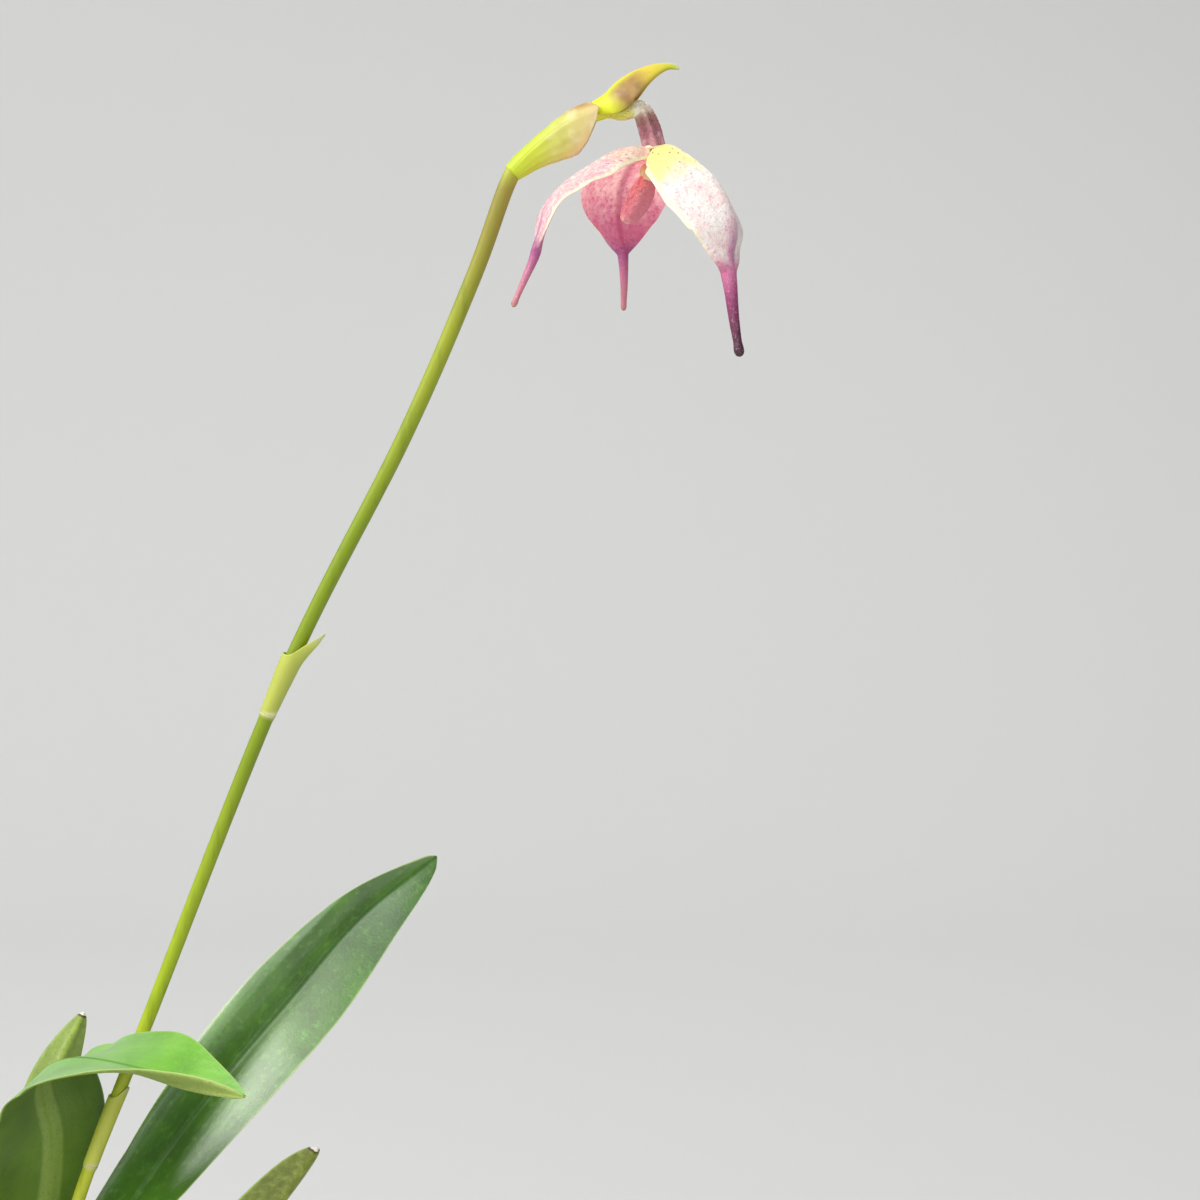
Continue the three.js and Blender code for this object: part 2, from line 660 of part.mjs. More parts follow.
// A sepal: a hollowed blade that narrows into a fleshy round tail with a small knob at its end. Its
// rows stand closer together towards the tail's rounded end.
function sepalGeometry({ azimuth, halfWidth, blade, tail, knob, fold, midline }) {
  const spine = spineThrough(midline.map(([r, h]) => [r, 0, h]));
  const outward = vector([Math.cos(radians(azimuth)), Math.sin(radians(azimuth)), 0]);
  const across = vector([-outward.y, outward.x, 0]);
  const inSpace = ({ x, z }) => outward.clone().multiplyScalar(x).addScaledVector(down, z);
  return plateGeometry(SEPAL.rows, SEPAL.columns, (t, v) => {
    const s = mix(SEPAL.start, spine.length, 1 - (1 - t) ** 1.3);
    const share = Math.min(s / blade, 1);
    const direction = inSpace(spine.direction(s));
    const inner = direction.clone().cross(across).normalize();
    if (inner.dot(down) < 0 || inner.dot(outward) > 0) inner.negate();

    const tailEnd = Math.max(s - blade, 0) / (spine.length - blade);
    const knobbed = SEPAL.knobHeight * knob * smoothstep(tailEnd, 0.8, 0.93);
    const rounded = 1 - 0.6 * smoothstep(tailEnd, 0.94, 1);
    const tapered = tail * mix(1, SEPAL.tailTaper, tailEnd ** SEPAL.tailTaperPower);
    const tailHalf = (tapered + knobbed) * rounded;

    // The blade is never wider than its third of the circle about the flower's centre, where the
    // three sepals are grown together.
    const { out, up, slope } = bentSection(between(fold, share), Math.abs(v));
    const margin = bentSection(between(fold, share), 1);
    const along = SEPAL.bornWide + (1 - SEPAL.bornWide) * share;
    const free = halfWidth * Math.sin(Math.PI * along ** SEPAL.power) ** SEPAL.fullness;
    const third = (1.1 * Math.tan(radians(60)) * spine.point(s).x) / margin.out;
    const spread = share < 1 ? Math.min(free, third) : 0;
    const half = Math.hypot(spread, tailHalf * smoothstep(share, 0.2, 0.8));

    const side = Math.sign(v);
    const centre = flowerCentre.clone().add(inSpace(spine.point(s)));
    const sheet = centre.clone().addScaledVector(across, side * out * half);
    sheet.addScaledVector(inner, up * half);
    const normal = inner.clone().multiplyScalar(Math.cos(slope));
    normal.addScaledVector(across, -side * Math.sin(slope));
    if (side === 0) normal.copy(inner);
    const round = smoothstep(share, SEPAL.closesAt, 1);
    const bulge = mix(SEPAL.thickness / 2, tailHalf * Math.sqrt(Math.max(1 - v * v, 0.12)), round);
    const base = sheet.lerp(centre.clone().addScaledVector(across, v * half), round);
    const rise = normal.lerp(inner, round).normalize();
    return [base.clone().addScaledVector(rise, bulge), base.clone().addScaledVector(rise, -bulge)];
  });
}

const hub = new THREE.CylinderGeometry(FLOWER.hubRadius, FLOWER.hubRadius, FLOWER.hubThickness, 16)
  .rotateX(Math.PI / 2)
  .translate(...FLOWER.centre);
place("perianth", joined([hub, ...SEPALS.map(sepalGeometry)]), FINISH.sepal);

// The column: a short stout stalk with a tiny petal on each side.
const columnSpine = spineThrough(COLUMN.spine);
const columnStalk = tubeGeometry(columnSpine, 0, columnSpine.length, {
  steps: 6,
  sides: 10,
  facing: vector([0, 1, 0]),
  radiusAt: (s) => between(COLUMN.radius, s / columnSpine.length),
});
const { out: petalOut, drop: petalDrop, halfSize: petalSize, turn: petalTurn } = COLUMN.petal;
const petals = [-1, 1].map((side) => {
  const [x, y, z] = COLUMN.spine[1];
  return new THREE.SphereGeometry(1, 8, 6)
    .scale(...petalSize)
    .rotateY(radians(-petalTurn * side))
    .translate(x + side * petalOut, y, z - petalDrop);
});
place("column", joined([columnStalk, ...petals]), FINISH.column);

place("lip", bladeGeometry(spineThrough(LIP.spine), 0, LIP), FINISH.lip);

// Pot: a tapered wall under a thicker rim band, open at the top, with holes in its floor.

function potGeometry() {
  const { height, rimRadius, footRadius, wall, floor, bandHeight, bandStep, edge, sides } = POT;
  const bandFoot = height - bandHeight;
  const shoulder = rimRadius - bandStep - 1.5;
  const outline = [
    [0, 0], [footRadius - edge, 0], [footRadius, edge],
    [shoulder, bandFoot - 0.8], [shoulder + bandStep, bandFoot], [rimRadius, height - edge],
    [rimRadius - edge, height], [rimRadius - wall + edge, height], [rimRadius - wall, height - edge],
    [footRadius - wall, floor + 2], [footRadius - wall - 2, floor], [0, floor],
  ];
  return turned(outline, sides);
}

const holes = Array.from({ length: POT.holes }, (_, i) => {
  const angle = (2 * Math.PI * (i + 0.5)) / POT.holes;
  return new THREE.CylinderGeometry(POT.holeRadius, POT.holeRadius, 4 * POT.floor, 16)
    .rotateX(Math.PI / 2)
    .translate(POT.holeCircle * Math.cos(angle), POT.holeCircle * Math.sin(angle), 0);
});
place("pot", cut(potGeometry(), holes), FINISH.clay);

// Moss: a plug that fills the pot, with low mounds drawn from a seeded rule on its top.

function seeded(seed) {
  let state = seed;
  return () => {
    state = (state * 1664525 + 1013904223) % 4294967296;
    return state / 4294967296;
  };
}

function mossGeometry() {
  const random = seeded(7);
  const innerFoot = POT.footRadius - POT.wall;
  const slope = (POT.rimRadius - POT.wall - innerFoot) / (POT.height - POT.edge - POT.floor - 2);
  const wallAt = (z) => innerFoot + slope * (z - POT.floor - 2) - GAP;
  const edgeRadius = wallAt(SOIL);
  const mounds = Array.from({ length: MOSS.mounds }, () => {
    const angle = 2 * Math.PI * random();
    const distance = edgeRadius * Math.sqrt(random());
    return {
      x: distance * Math.cos(angle),
      y: distance * Math.sin(angle),
      radius: mix(...MOSS.moundRadius, random()),
      height: mix(...MOSS.moundHeight, random()),
    };
  });
  const mound = (m, x, y) => {
    const away = (x - m.x) ** 2 + (y - m.y) ** 2;
    return m.height * Math.exp(-away / (m.radius / 1.6) ** 2);
  };
  const rise = (x, y) => Math.max(0, ...mounds.map((m) => mound(m, x, y)));
  const foot = POT.floor + GAP;
  const outline = [[0, foot], [innerFoot - 2 - GAP, foot], [wallAt(POT.floor + 2), POT.floor + 2.4]];
  for (let i = MOSS.rings; i >= 0; i--) outline.push([(edgeRadius * i) / MOSS.rings, SOIL]);
  const geometry = turned(outline, 28);
  const position = geometry.attributes.position;
  for (let i = 0; i < position.count; i++) {
    const [x, y, z] = [position.getX(i), position.getY(i), position.getZ(i)];
    const inside = 1 - smoothstep(Math.hypot(x, y), edgeRadius - 3, edgeRadius);
    if (z > SOIL - 1) position.setZ(i, z + rise(x, y) * inside);
  }
  return geometry;
}

place("moss", cut(mossGeometry(), [scapeTube(-GAP, GAP), ...stemCutters]), FINISH.moss);

export default orchid;
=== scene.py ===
# %% [markdown]
# # A small orchid in a clay pot
# One slender flower stem leans out of a clump of strap-shaped leaves and carries a single nodding
# flower with three tails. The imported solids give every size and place. Here each solid gets a finer
# surface of the same form, worked out with numpy, and a finish made of shader nodes.

import math

import bpy
import numpy as np
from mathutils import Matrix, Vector


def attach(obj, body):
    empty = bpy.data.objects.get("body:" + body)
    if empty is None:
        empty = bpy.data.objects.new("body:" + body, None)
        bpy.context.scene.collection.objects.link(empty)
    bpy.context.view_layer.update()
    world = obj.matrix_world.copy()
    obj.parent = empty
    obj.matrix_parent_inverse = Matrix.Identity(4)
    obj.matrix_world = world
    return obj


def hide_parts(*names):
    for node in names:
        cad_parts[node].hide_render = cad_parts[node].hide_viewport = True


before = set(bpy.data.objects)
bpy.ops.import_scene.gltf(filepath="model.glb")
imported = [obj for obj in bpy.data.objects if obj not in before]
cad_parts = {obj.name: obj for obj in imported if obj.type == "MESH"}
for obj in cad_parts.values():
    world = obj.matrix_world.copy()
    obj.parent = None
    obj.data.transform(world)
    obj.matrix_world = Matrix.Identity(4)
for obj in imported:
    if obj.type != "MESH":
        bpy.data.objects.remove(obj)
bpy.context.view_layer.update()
print("solids:", len(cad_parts))

# %% [markdown]
# ## Camera
# The plant is seen from a little above the middle of its flower stem, so the picture's lower edge
# cuts the leaves.

# %% The camera
camera = bpy.data.objects.new("camera", bpy.data.cameras.new("camera"))
bpy.context.scene.collection.objects.link(camera)
camera.location = (0.120, -0.5479, 0.3099)
camera.rotation_euler = (math.radians(85), 0, 0)
camera.data.lens = 82.5
camera.data.sensor_width = 36
camera.data.clip_start = 0.01
bpy.context.scene.camera = camera
bpy.context.scene.view_settings.view_transform = "Standard"
print("camera", tuple(round(c, 3) for c in camera.location))

# %% [markdown]
# ## Surfaces, floor and light
# Every surface is a grid of points from a formula, in millimetres. The floor is one pale sheet that
# sweeps up behind the plant, as in a studio: with no corner there is no line behind the leaves.

# %% Surfaces from grids of points
MM = 0.001


def grid_faces(rows, columns, closed_rows=False, closed_columns=False):
    """Quads between the points of a grid. A closed direction also joins its last points to its first."""
    i = np.arange(rows if closed_rows else rows - 1)[:, None]
    k = np.arange(columns if closed_columns else columns - 1)[None]
    here, below = i * columns, ((i + 1) % rows) * columns
    right = (k + 1) % columns
    return np.stack([here + k, here + right, below + right, below + k], -1).reshape(-1, 4)


def volume_of(points, faces):
    """The signed volume: each face makes a cone with the origin, and outward faces add up above zero."""
    total = 0.0
    for part in faces:
        corner = points[part]
        for k in range(1, part.shape[1] - 1):
            total += np.einsum("ij,ij->", corner[:, 0], np.cross(corner[:, k], corner[:, k + 1]))
    return total / 6


def mesh_object(name, points, faces, material, marks=None, smooth=True):
    """An object from points in millimetres. faces is a list of index arrays, one for each corner count."""
    if volume_of(points, faces) < 0:
        faces = [part[:, ::-1] for part in faces]
    mesh = bpy.data.meshes.new(name)
    mesh.from_pydata(points * MM, [], [face for part in faces for face in part.tolist()])
    mesh.polygons.foreach_set("use_smooth", np.full(len(mesh.polygons), smooth))
    for key, values in (marks or {}).items():
        mark = mesh.attributes.new(key, "FLOAT", "POINT")
        mark.data.foreach_set("value", np.asarray(values, np.float32).ravel())
    mesh.materials.append(material)
    thing = bpy.data.objects.new(name, mesh)
    bpy.context.scene.collection.objects.link(thing)
    return thing


# %% The floor and the lights
FLOOR_HALF, WALL_TOP = 5000, 2600
SWEEP_FROM, SWEEP_RADIUS = 900, 600
PLANT = (0.06, 0, 0.25)


def sweep_floor():
    """A flat sheet, then a quarter circle, then a wall: one section along Y for all X."""
    turn = np.linspace(0, math.pi / 2, 24)
    y = np.concatenate([[-FLOOR_HALF], SWEEP_FROM + SWEEP_RADIUS * np.sin(turn)])
    z = np.concatenate([[0], SWEEP_RADIUS * (1 - np.cos(turn))])
    y, z = np.append(y, y[-1]), np.append(z, WALL_TOP)
    x = np.array([-FLOOR_HALF, FLOOR_HALF], float)
    points = np.stack(np.broadcast_arrays(x[:, None], y[None], z[None]), -1).reshape(-1, 3)
    return points, [grid_faces(2, len(y))]


floor_points, floor_faces = sweep_floor()
pale = bpy.data.materials.new("studio_paper")
pale.use_nodes = True
paper = pale.node_tree.nodes["Principled BSDF"].inputs
paper["Base Color"].default_value = (0.66, 0.66, 0.65, 1)
paper["Roughness"].default_value = 0.9
floor = mesh_object("floor", floor_points, floor_faces, pale)

world = bpy.data.worlds.new("room")
bpy.context.scene.world = world
world.use_nodes = True
sky = world.node_tree.nodes["Background"].inputs
sky["Color"].default_value = (0.86, 0.93, 1.0, 1)
sky["Strength"].default_value = 0.22


def soft_box(name, place, target, size, power, colour=(1, 1, 1)):
    """A square light whose face looks at the target."""
    lamp = bpy.data.objects.new(name, bpy.data.lights.new(name, "AREA"))
    lamp.data.size = size
    lamp.data.energy = power
    lamp.data.color = colour
    lamp.location = place
    lamp.rotation_euler = (Vector(target) - Vector(place)).to_track_quat("-Z", "Y").to_euler()
    bpy.context.scene.collection.objects.link(lamp)


soft_box("key_light", (-0.8, -1.1, 1.5), PLANT, 1.7, 25, (1.0, 0.98, 0.95))
soft_box("side_light", (-1.5, -0.3, 1.35), (0.06, 0, 0.2), 0.9, 20, (1.0, 0.99, 0.96))
soft_box("fill_light", (0.5, -1.6, 1.0), PLANT, 1.0, 10, (0.97, 0.98, 1.0))
soft_box("rim_light", (0.6, 1.2, 1.6), PLANT, 0.7, 9)

# %% [markdown]
# ## Arithmetic with sockets
# A finish is a sum: colour plus speckle, roughness minus wear. Written as Python expressions it
# reads as the sum it is, and each sign adds its Math node. Colours are mixed, never added, because
# a Math node turns a colour grey.


# %% A socket with signs
class Socket:
    """One output of a node. Arithmetic on it, with numbers or other sockets, gives a new one."""

    def __init__(self, paint, output):
        self.paint = paint
        self.output = output

    def _sum(self, operation, first, second):
        return self.paint.node("ShaderNodeMath", {"operation": operation}, {0: first, 1: second})

    def __add__(self, other):
        return self._sum("ADD", self, other)

    def __radd__(self, other):
        return self._sum("ADD", other, self)

    def __sub__(self, other):
        return self._sum("SUBTRACT", self, other)

    def __rsub__(self, other):
        return self._sum("SUBTRACT", other, self)

    def __mul__(self, other):
        return self._sum("MULTIPLY", self, other)

    def __abs__(self):
        return self.paint.node("ShaderNodeMath", {"operation": "ABSOLUTE"}, {0: self})


# %% A material in the making
def linear(colour):
    """A colour as a screen shows it, in parts of 255, as the light it stands for."""
    c = np.array(colour, float) / 255
    return tuple(np.where(c <= 0.04045, c / 12.92, ((c + 0.055) / 1.055) ** 2.4)) + (1.0,)


class Paint:
    """A material in the making. Sizes of patterns are in millimetres, on Object coordinates."""

    def __init__(self, name):
        self.material = bpy.data.materials.new(name)
        self.material.use_nodes = True
        self.tree = self.material.node_tree
        self.shader = self.tree.nodes["Principled BSDF"]
        self.place = self.node("ShaderNodeTexCoord", {}, {}, "Object")

    def node(self, kind, settings, inputs, output=0):
        """Any node: its settings are set first, then its sockets get numbers, colours or links."""
        made = self.tree.nodes.new(kind)
        for key, value in settings.items():
            if key == "stops":
                self._stops(made.color_ramp, value)
            else:
                setattr(made, key, value)
        for key, value in inputs.items():
            self._feed(made.inputs[key], value)
        return Socket(self, made.outputs[output])

    def _feed(self, target, value):
        if isinstance(value, Socket):
            self.tree.links.new(value.output, target)
        else:
            target.default_value = value

    def _stops(self, ramp, stops):
        while len(ramp.elements) < len(stops):
            ramp.elements.new(0.5)
        for element, (position, colour) in zip(ramp.elements, stops):
            element.position = position
            element.color = linear(colour)

    def noise(self, size, detail=2.0, roughness=0.5, stretch=None):
        """Cloudy noise from 0 to 1 whose clouds are about so many millimetres across."""
        place = self.place
        if stretch:
            place = self.node("ShaderNodeMapping", {}, {"Vector": self.place, "Scale": stretch})
        inputs = {"Vector": place, "Scale": 1000 / size, "Detail": detail, "Roughness": roughness}
        return self.node("ShaderNodeTexNoise", {}, inputs)

    def cells(self, size):
        """Rounded cells about so many millimetres across: 0 in each cell's middle, and rising."""
        return self.node("ShaderNodeTexVoronoi", {}, {"Vector": self.place, "Scale": 1000 / size})

    def mark(self, name):
        """The piece's own values, stored on its points."""
        return self.node("ShaderNodeAttribute", {"attribute_name": name}, {}, "Fac")

    def step(self, value, start, end, first=0.0, last=1.0):
        """Eases from first to last as the value goes from start to end, up or down."""
        inputs = {"Value": value, "From Min": start, "From Max": end, "To Min": first, "To Max": last}
        return self.node("ShaderNodeMapRange", {"interpolation_type": "SMOOTHSTEP"}, inputs)

    def wave(self, value):
        """A sine of the value, brought between 0 and 1."""
        return self.node("ShaderNodeMath", {"operation": "SINE"}, {0: value}) * 0.5 + 0.5

    def mix(self, first, second, factor):
        """From the first colour to the second. Colours may be sockets or screen values."""
        first, second = (c if isinstance(c, Socket) else linear(c) for c in (first, second))
        return self.node("ShaderNodeMix", {"data_type": "RGBA"}, {0: factor, 6: first, 7: second}, 2)

    def ramp(self, value, stops):
        """A colour that follows the value through a list of (place, colour) stops."""
        return self.node("ShaderNodeValToRGB", {"stops": stops}, {"Fac": value})

    def bump(self, height, depth):
        """A relief so many millimetres deep, for the Normal socket."""
        return self.node("ShaderNodeBump", {}, {"Height": height, "Distance": depth * MM})

    def finish(self, **sockets):
        """Feeds the shader. Names are the sockets' own, with _ for a space."""
        for key, value in sockets.items():
            self._feed(self.shader.inputs[key.replace("_", " ")], value)
        print("finish", self.material.name, "nodes:", len(self.tree.nodes))
        return self.material


# %% [markdown]
# ## Curves to build on
# Every stem, leaf and sepal follows a spine: a smooth curve through a few points, measured by its
# length. The points are the ones the solids were made from, so the fine surfaces lie on them.


# %% Steps, hills and lists
def smoothstep(value, low, high):
    """0 below low, 1 above high, and an even S between."""
    x = np.clip((value - low) / (high - low), 0, 1)
    return x * x * (3 - 2 * x)


def hill(x, width):
    """A round hill, 1 high at x = 0: e to the power of minus (x / width) squared."""
    return np.exp(-((x / width) ** 2))


def rounded_end(t, start, least):
    """1 up to start, then down a quarter of an ellipse to t = 1, but never below the root of least."""
    return np.sqrt(np.clip(1 - ((t - start) / (1 - start)).clip(0) ** 2, least, 1))


def between(values, t):
    """The value at fraction t of a list whose entries stand at equal steps."""
    values = np.array(values, float)
    place = np.clip(t, 0, 1) * (len(values) - 1)
    first = np.minimum(place.astype(int), len(values) - 2)
    part = place - first
    if values.ndim > 1:
        part = part[..., None]
    return values[first] * (1 - part) + values[first + 1] * part


# %% Spines
class Spine:
    """A curve that passes each point in the direction of the line between its two neighbours. Past
    its ends it runs on straight."""

    def __init__(self, points, samples=800):
        p = np.array(points, float)
        self.count = len(p)
        self.points = np.vstack([2 * p[0] - p[1], p, 2 * p[-1] - p[-2]])
        self.steps = np.linspace(0, self.count - 1, samples + 1)
        reach = np.linalg.norm(np.diff(self._curve(self.steps)[0], axis=0), axis=1)
        self.lengths = np.concatenate([[0], np.cumsum(reach)])
        self.length = self.lengths[-1]

    def _curve(self, u):
        k = np.minimum(u.astype(int), self.count - 2)
        f = (u - k)[..., None]
        a, b, c, d = (self.points[k + i] for i in range(4))
        m, n = (c - a) / 2, (d - b) / 2
        rise = f * f * (3 - 2 * f)
        point = b + (c - b) * rise + f * (1 - f) ** 2 * m - f * f * (1 - f) * n
        direction = 6 * f * (1 - f) * (c - b) + (1 - f) * (1 - 3 * f) * m + f * (3 * f - 2) * n
        return point, direction / np.linalg.norm(direction, axis=-1, keepdims=True)

    def at(self, s):
        """Point, direction and share of the way through the list of points, at a length."""
        inside = np.clip(s, 0, self.length)
        u = np.interp(inside, self.lengths, self.steps)
        point, direction = self._curve(u)
        return point + direction * (s - inside)[..., None], direction, u / (self.count - 1)

    def length_at_height(self, height):
        """The length at which a rising spine reaches a height."""
        return np.interp(height, self._curve(self.steps)[0][:, 2], self.lengths)


# %% Sections across a spine
def square_to(direction, facing):
    """Face and across directions square to a direction, the face as near as can be to facing."""
    face = facing - direction * (facing * direction).sum(-1, keepdims=True)
    face = face / np.linalg.norm(face, axis=-1, keepdims=True)
    across = np.cross(direction, face)
    return face, across / np.linalg.norm(across, axis=-1, keepdims=True)


def bent_section(fold, reach):
    """How far out and up a half of unit width is where it bends evenly from one slope to another."""
    first = np.radians(fold[..., 0])
    last = np.radians(np.where(np.abs(fold[..., 1] - fold[..., 0]) < 0.5, fold[..., 0] + 0.5, fold[..., 1]))
    slope = first + (last - first) * reach
    turn = last - first
    return (np.sin(slope) - np.sin(first)) / turn, (np.cos(first) - np.cos(slope)) / turn, slope


def folded_section(fold, v, edge):
    """The bent section on both sides of a midrib that is rounded within edge: for v from -1 to 1, how
    far out and up it is, its slope, and its side, from -1 to 1."""
    rounded = np.sqrt(v * v + edge**2)
    out = bent_section(fold, np.abs(v))[0]
    _, up, slope = bent_section(fold, (rounded - edge) / (math.sqrt(1 + edge**2) - edge))
    return np.sign(v) * out, up, slope, v / rounded


def blade_width(t, foot, tip, width, power, fullness):
    """Half a blade's width: a slim strip from foot to tip together with a lens, which is the width
    times sin(pi t^power)^fullness."""
    lens = width * np.sin(math.pi * np.clip(t, 0, 1) ** power).clip(0) ** fullness
    return np.hypot(foot + (tip - foot) * t, lens)


# %% Skins over rings
def circle(count):
    """So many equal steps of angle round a full turn."""
    return np.arange(count) * 2 * math.pi / count


def turned(radius, height, angle):
    """Points round the upright axis, at a radius and a height."""
    return np.stack(np.broadcast_arrays(radius * np.cos(angle), radius * np.sin(angle), height), -1)


def capped(rings):
    """Points and faces of a skin over rings, closed at both ends by a fan round the end's middle."""
    rows, around = rings.shape[:2]
    points = np.vstack([rings.reshape(-1, 3), rings[0].mean(0), rings[-1].mean(0)])
    k = np.arange(around)
    after = (k + 1) % around
    last = (rows - 1) * around
    first_fan = np.stack([np.full(around, rows * around), after, k], -1)
    last_fan = np.stack([np.full(around, rows * around + 1), last + k, last + after], -1)
    return points, [grid_faces(rows, around, closed_columns=True), np.vstack([first_fan, last_fan])]


def with_ends(values):
    """Marks for a capped skin: the two middle points take the mean of their ring."""
    return np.concatenate([values.ravel(), [values[0].mean(), values[-1].mean()]])


def tube(spine, start, end, rows, around, facing, radius):
    """Rings round a spine. radius is a function of the length and the angle."""
    s, angle = np.meshgrid(np.linspace(start, end, rows), circle(around), indexing="ij")
    point, direction, _ = spine.at(s)
    face, across = square_to(direction, np.array(facing, float))
    r = radius(s, angle)[..., None]
    return point + r * (face * np.cos(angle)[..., None] + across * np.sin(angle)[..., None]), s, angle


def skin_piece(name, rings, paint, marks=None):
    """A piece whose skin covers rings and is closed at both ends."""
    points, faces = capped(rings)
    return mesh_object(name, points, faces, paint, {key: with_ends(v) for key, v in (marks or {}).items()})


def sleeve_piece(name, rings, paint, marks):
    """A piece whose rings run up its outside and down its inside, so the last joins the first."""
    faces = [grid_faces(*rings.shape[:2], closed_rows=True, closed_columns=True)]
    return mesh_object(name, rings.reshape(-1, 3), faces, paint, marks)


def joined(skins):
    """The points and faces of several closed skins as one, each with its faces outward."""
    points, quads, fans, count = [], [], [], 0
    for rings in skins:
        skin, parts = capped(rings)
        if volume_of(skin, parts) < 0:
            parts = [part[:, ::-1] for part in parts]
        points.append(skin)
        quads.append(parts[0] + count)
        fans.append(parts[1] + count)
        count += len(skin)
    return np.vstack(points), [np.vstack(quads), np.vstack(fans)]


def flesh(weight, radius, scale):
    """Light that enters the skin and comes out nearby: how much, how far in each colour, in metres."""
    return {"Subsurface_Weight": weight, "Subsurface_Radius": radius, "Subsurface_Scale": scale}


# %% [markdown]
# ## Leaf blades
# A blade is thick and leathery, folded along its midrib, with a soft keel below and a margin that
# thins to a rounded edge. Each cross-section is a closed loop, once over the upper face and back
# under the lower one, so the margins are rounded and no seam is left open.

# %% Measures shared by the leaves
SOIL = 80
ROOTED = 14
LEAF_STEM = 26
BLADE_START = ROOTED + LEAF_STEM - 0.6
BLADE_GRID = (150, 36)
THICKNESS, KEEL, KEEL_WIDTH = 0.62, 0.6, 0.16
FOOT_HALF, TIP_HALF = 1.7, 0.5
FOOT_FOLD = [62, 62]
EDGE = 0.035
# A leaf's tint moves both its faces towards a paler, yellower green. It is partly the leaf's own colour and
# partly painted light: high on leaves in full light, low on leaves in shade.
USUAL = dict(power=1.1, fullness=0.7, wave=0.4, waves=2, tint=0.3, dry=0.6, roll=0)
LEAVES = {
    "right_tall": dict(
        width=12.7, power=1.07, fullness=0.59, wave=0.6, waves=2.5, tint=0, dry=0.15, roll=0.9,
        midrib=[[6, 5, 66], [6.2, 5, 84], [10.7, 5.5, 114.8], [24.3, 6.6, 138.1], [39.3, 12.8, 158.2],
                [55.1, 18.3, 176.6], [69.6, 26.4, 192.6], [85.1, 33.7, 204]],
        facing=[[-0.35, -0.93, 0.12], [-0.16, -0.9, 0.4], [0.21, -0.88, 0.43], [0.59, -0.8, -0.1]],
        fold=[[37, 31], [31, 24], [22, 15]],
        other=[[61, 61], [38, 40], [34, 30]]),
    "front_bent": dict(
        width=14.4, power=1.22, fullness=0.82, wave=0.3, tint=1, dry=0.15,
        midrib=[[-3, 2, 66], [-2.6, 2, 84], [1, 2, 112], [6.3, -0.6, 134.6], [8.9, -5.6, 153.4],
                [7.7, -9.3, 166.3], [15.4, -15.3, 172.7], [29.1, -23.7, 173.1], [42.1, -33.9, 171.9],
                [53.6, -42.8, 172.3]],
        facing=[[-0.27, 0.96, 0.03], [-0.31, 0.95, 0.04], [-0.42, 0.9, 0.12], [-0.54, 0.78, 0.3],
                [-0.48, 0.37, 0.79], [-0.84, 0.34, 0.42], [-0.28, -0.04, 0.96], [-0.18, 0.01, 0.98],
                [0.05, 0, 1], [0.12, 0.12, 0.99]],
        fold=[[13, 13], [-8, -7], [-8, -7], [21, 20], [51, 54]],
        other=[[11, 14], [-7, 1], [-31, 10], [26, 33], [55, 60]]),
    "back_left": dict(
        width=7.1, power=1.03, fullness=0.66, wave=0.3, tint=0.7, dry=1.8,
        midrib=[[-7, 9, 66], [-7, 9.4, 84], [-3.5, 13, 109.9], [0.4, 16, 134.4], [4.4, 18.9, 156.4],
                [11.3, 21.6, 173]],
        facing=[[0.03, 0.99, 0.14], [-0.04, 0.99, 0.12], [-0.17, 0.96, 0.21]],
        fold=[[30, 27], [29, 27], [23, 21]],
        other=[[30, 27], [28, 26], [24, 23]]),
    "front_right": dict(
        width=8.8, power=1.14, fullness=0.61, wave=0.3, tint=0, dry=1.8,
        midrib=[[9, -3, 66], [9.2, -3.2, 84], [21.2, -7.1, 98.9], [33.5, -11.1, 114.1],
                [45.7, -15.4, 129.1], [56, -20.3, 144.1], [65.2, -26.4, 157.9]],
        facing=[[-0.82, 0.44, 0.37], [-0.65, 0.43, 0.62], [-0.37, 0.67, 0.64]],
        fold=[[29, 26], [23, 21], [33, 30]],
        other=[[30, 27], [32, 30], [29, 26]]),
    "left_long": dict(
        width=10.5, power=1.15, wave=0.5, waves=2.5,
        midrib=[[-12, -1, 66], [-12.2, -1, 84], [-17, -2, 108], [-28, -4, 136], [-46, -7, 160],
                [-70, -10, 174]],
        facing=[[0.9, 0, 0.3], [0.75, 0, 0.6], [0.45, -0.1, 0.85]],
        fold=[[34, 30], [30, 24], [28, 22]]),
    "left_front": dict(
        width=10, power=1.15,
        midrib=[[-6, -8, 66], [-6.2, -8.4, 84], [-11, -15, 106], [-21, -27, 131], [-35, -38, 149],
                [-52, -48, 154]],
        facing=[[0.5, 0.7, 0.3], [0.45, 0.5, 0.7], [0.25, 0.2, 0.95]],
        fold=[[34, 30], [28, 24], [26, 22]]),
    "back_tall": dict(
        width=10.5, wave=0.5, waves=2.5,
        midrib=[[-2, 13, 66], [-2.4, 13.6, 84], [-10, 20, 112], [-21, 27, 144], [-32, 34, 176],
                [-45, 40, 203]],
        facing=[[0.4, -0.8, 0.3], [0.5, -0.7, 0.4], [0.5, -0.6, 0.5]],
        fold=[[34, 30], [30, 24], [28, 22]]),
    "back_right": dict(
        width=9,
        midrib=[[8, 13, 66], [8.3, 13.4, 84], [17, 21, 101], [30, 31, 113], [47, 42, 116]],
        facing=[[-0.6, -0.5, 0.4], [-0.4, -0.3, 0.85], [-0.15, -0.1, 0.98]],
        fold=[[32, 28], [28, 22], [26, 22]]),
    "young_front": dict(
        width=7.5, wave=0.2, waves=1.5,
        midrib=[[1, -15, 66], [1.3, -15.4, 84], [6, -22, 99], [14, -31, 110], [26, -41, 113]],
        facing=[[-0.4, 0.7, 0.4], [-0.3, 0.4, 0.85], [-0.1, 0.15, 0.98]],
        fold=[[32, 28], [28, 22], [26, 22]]),
}


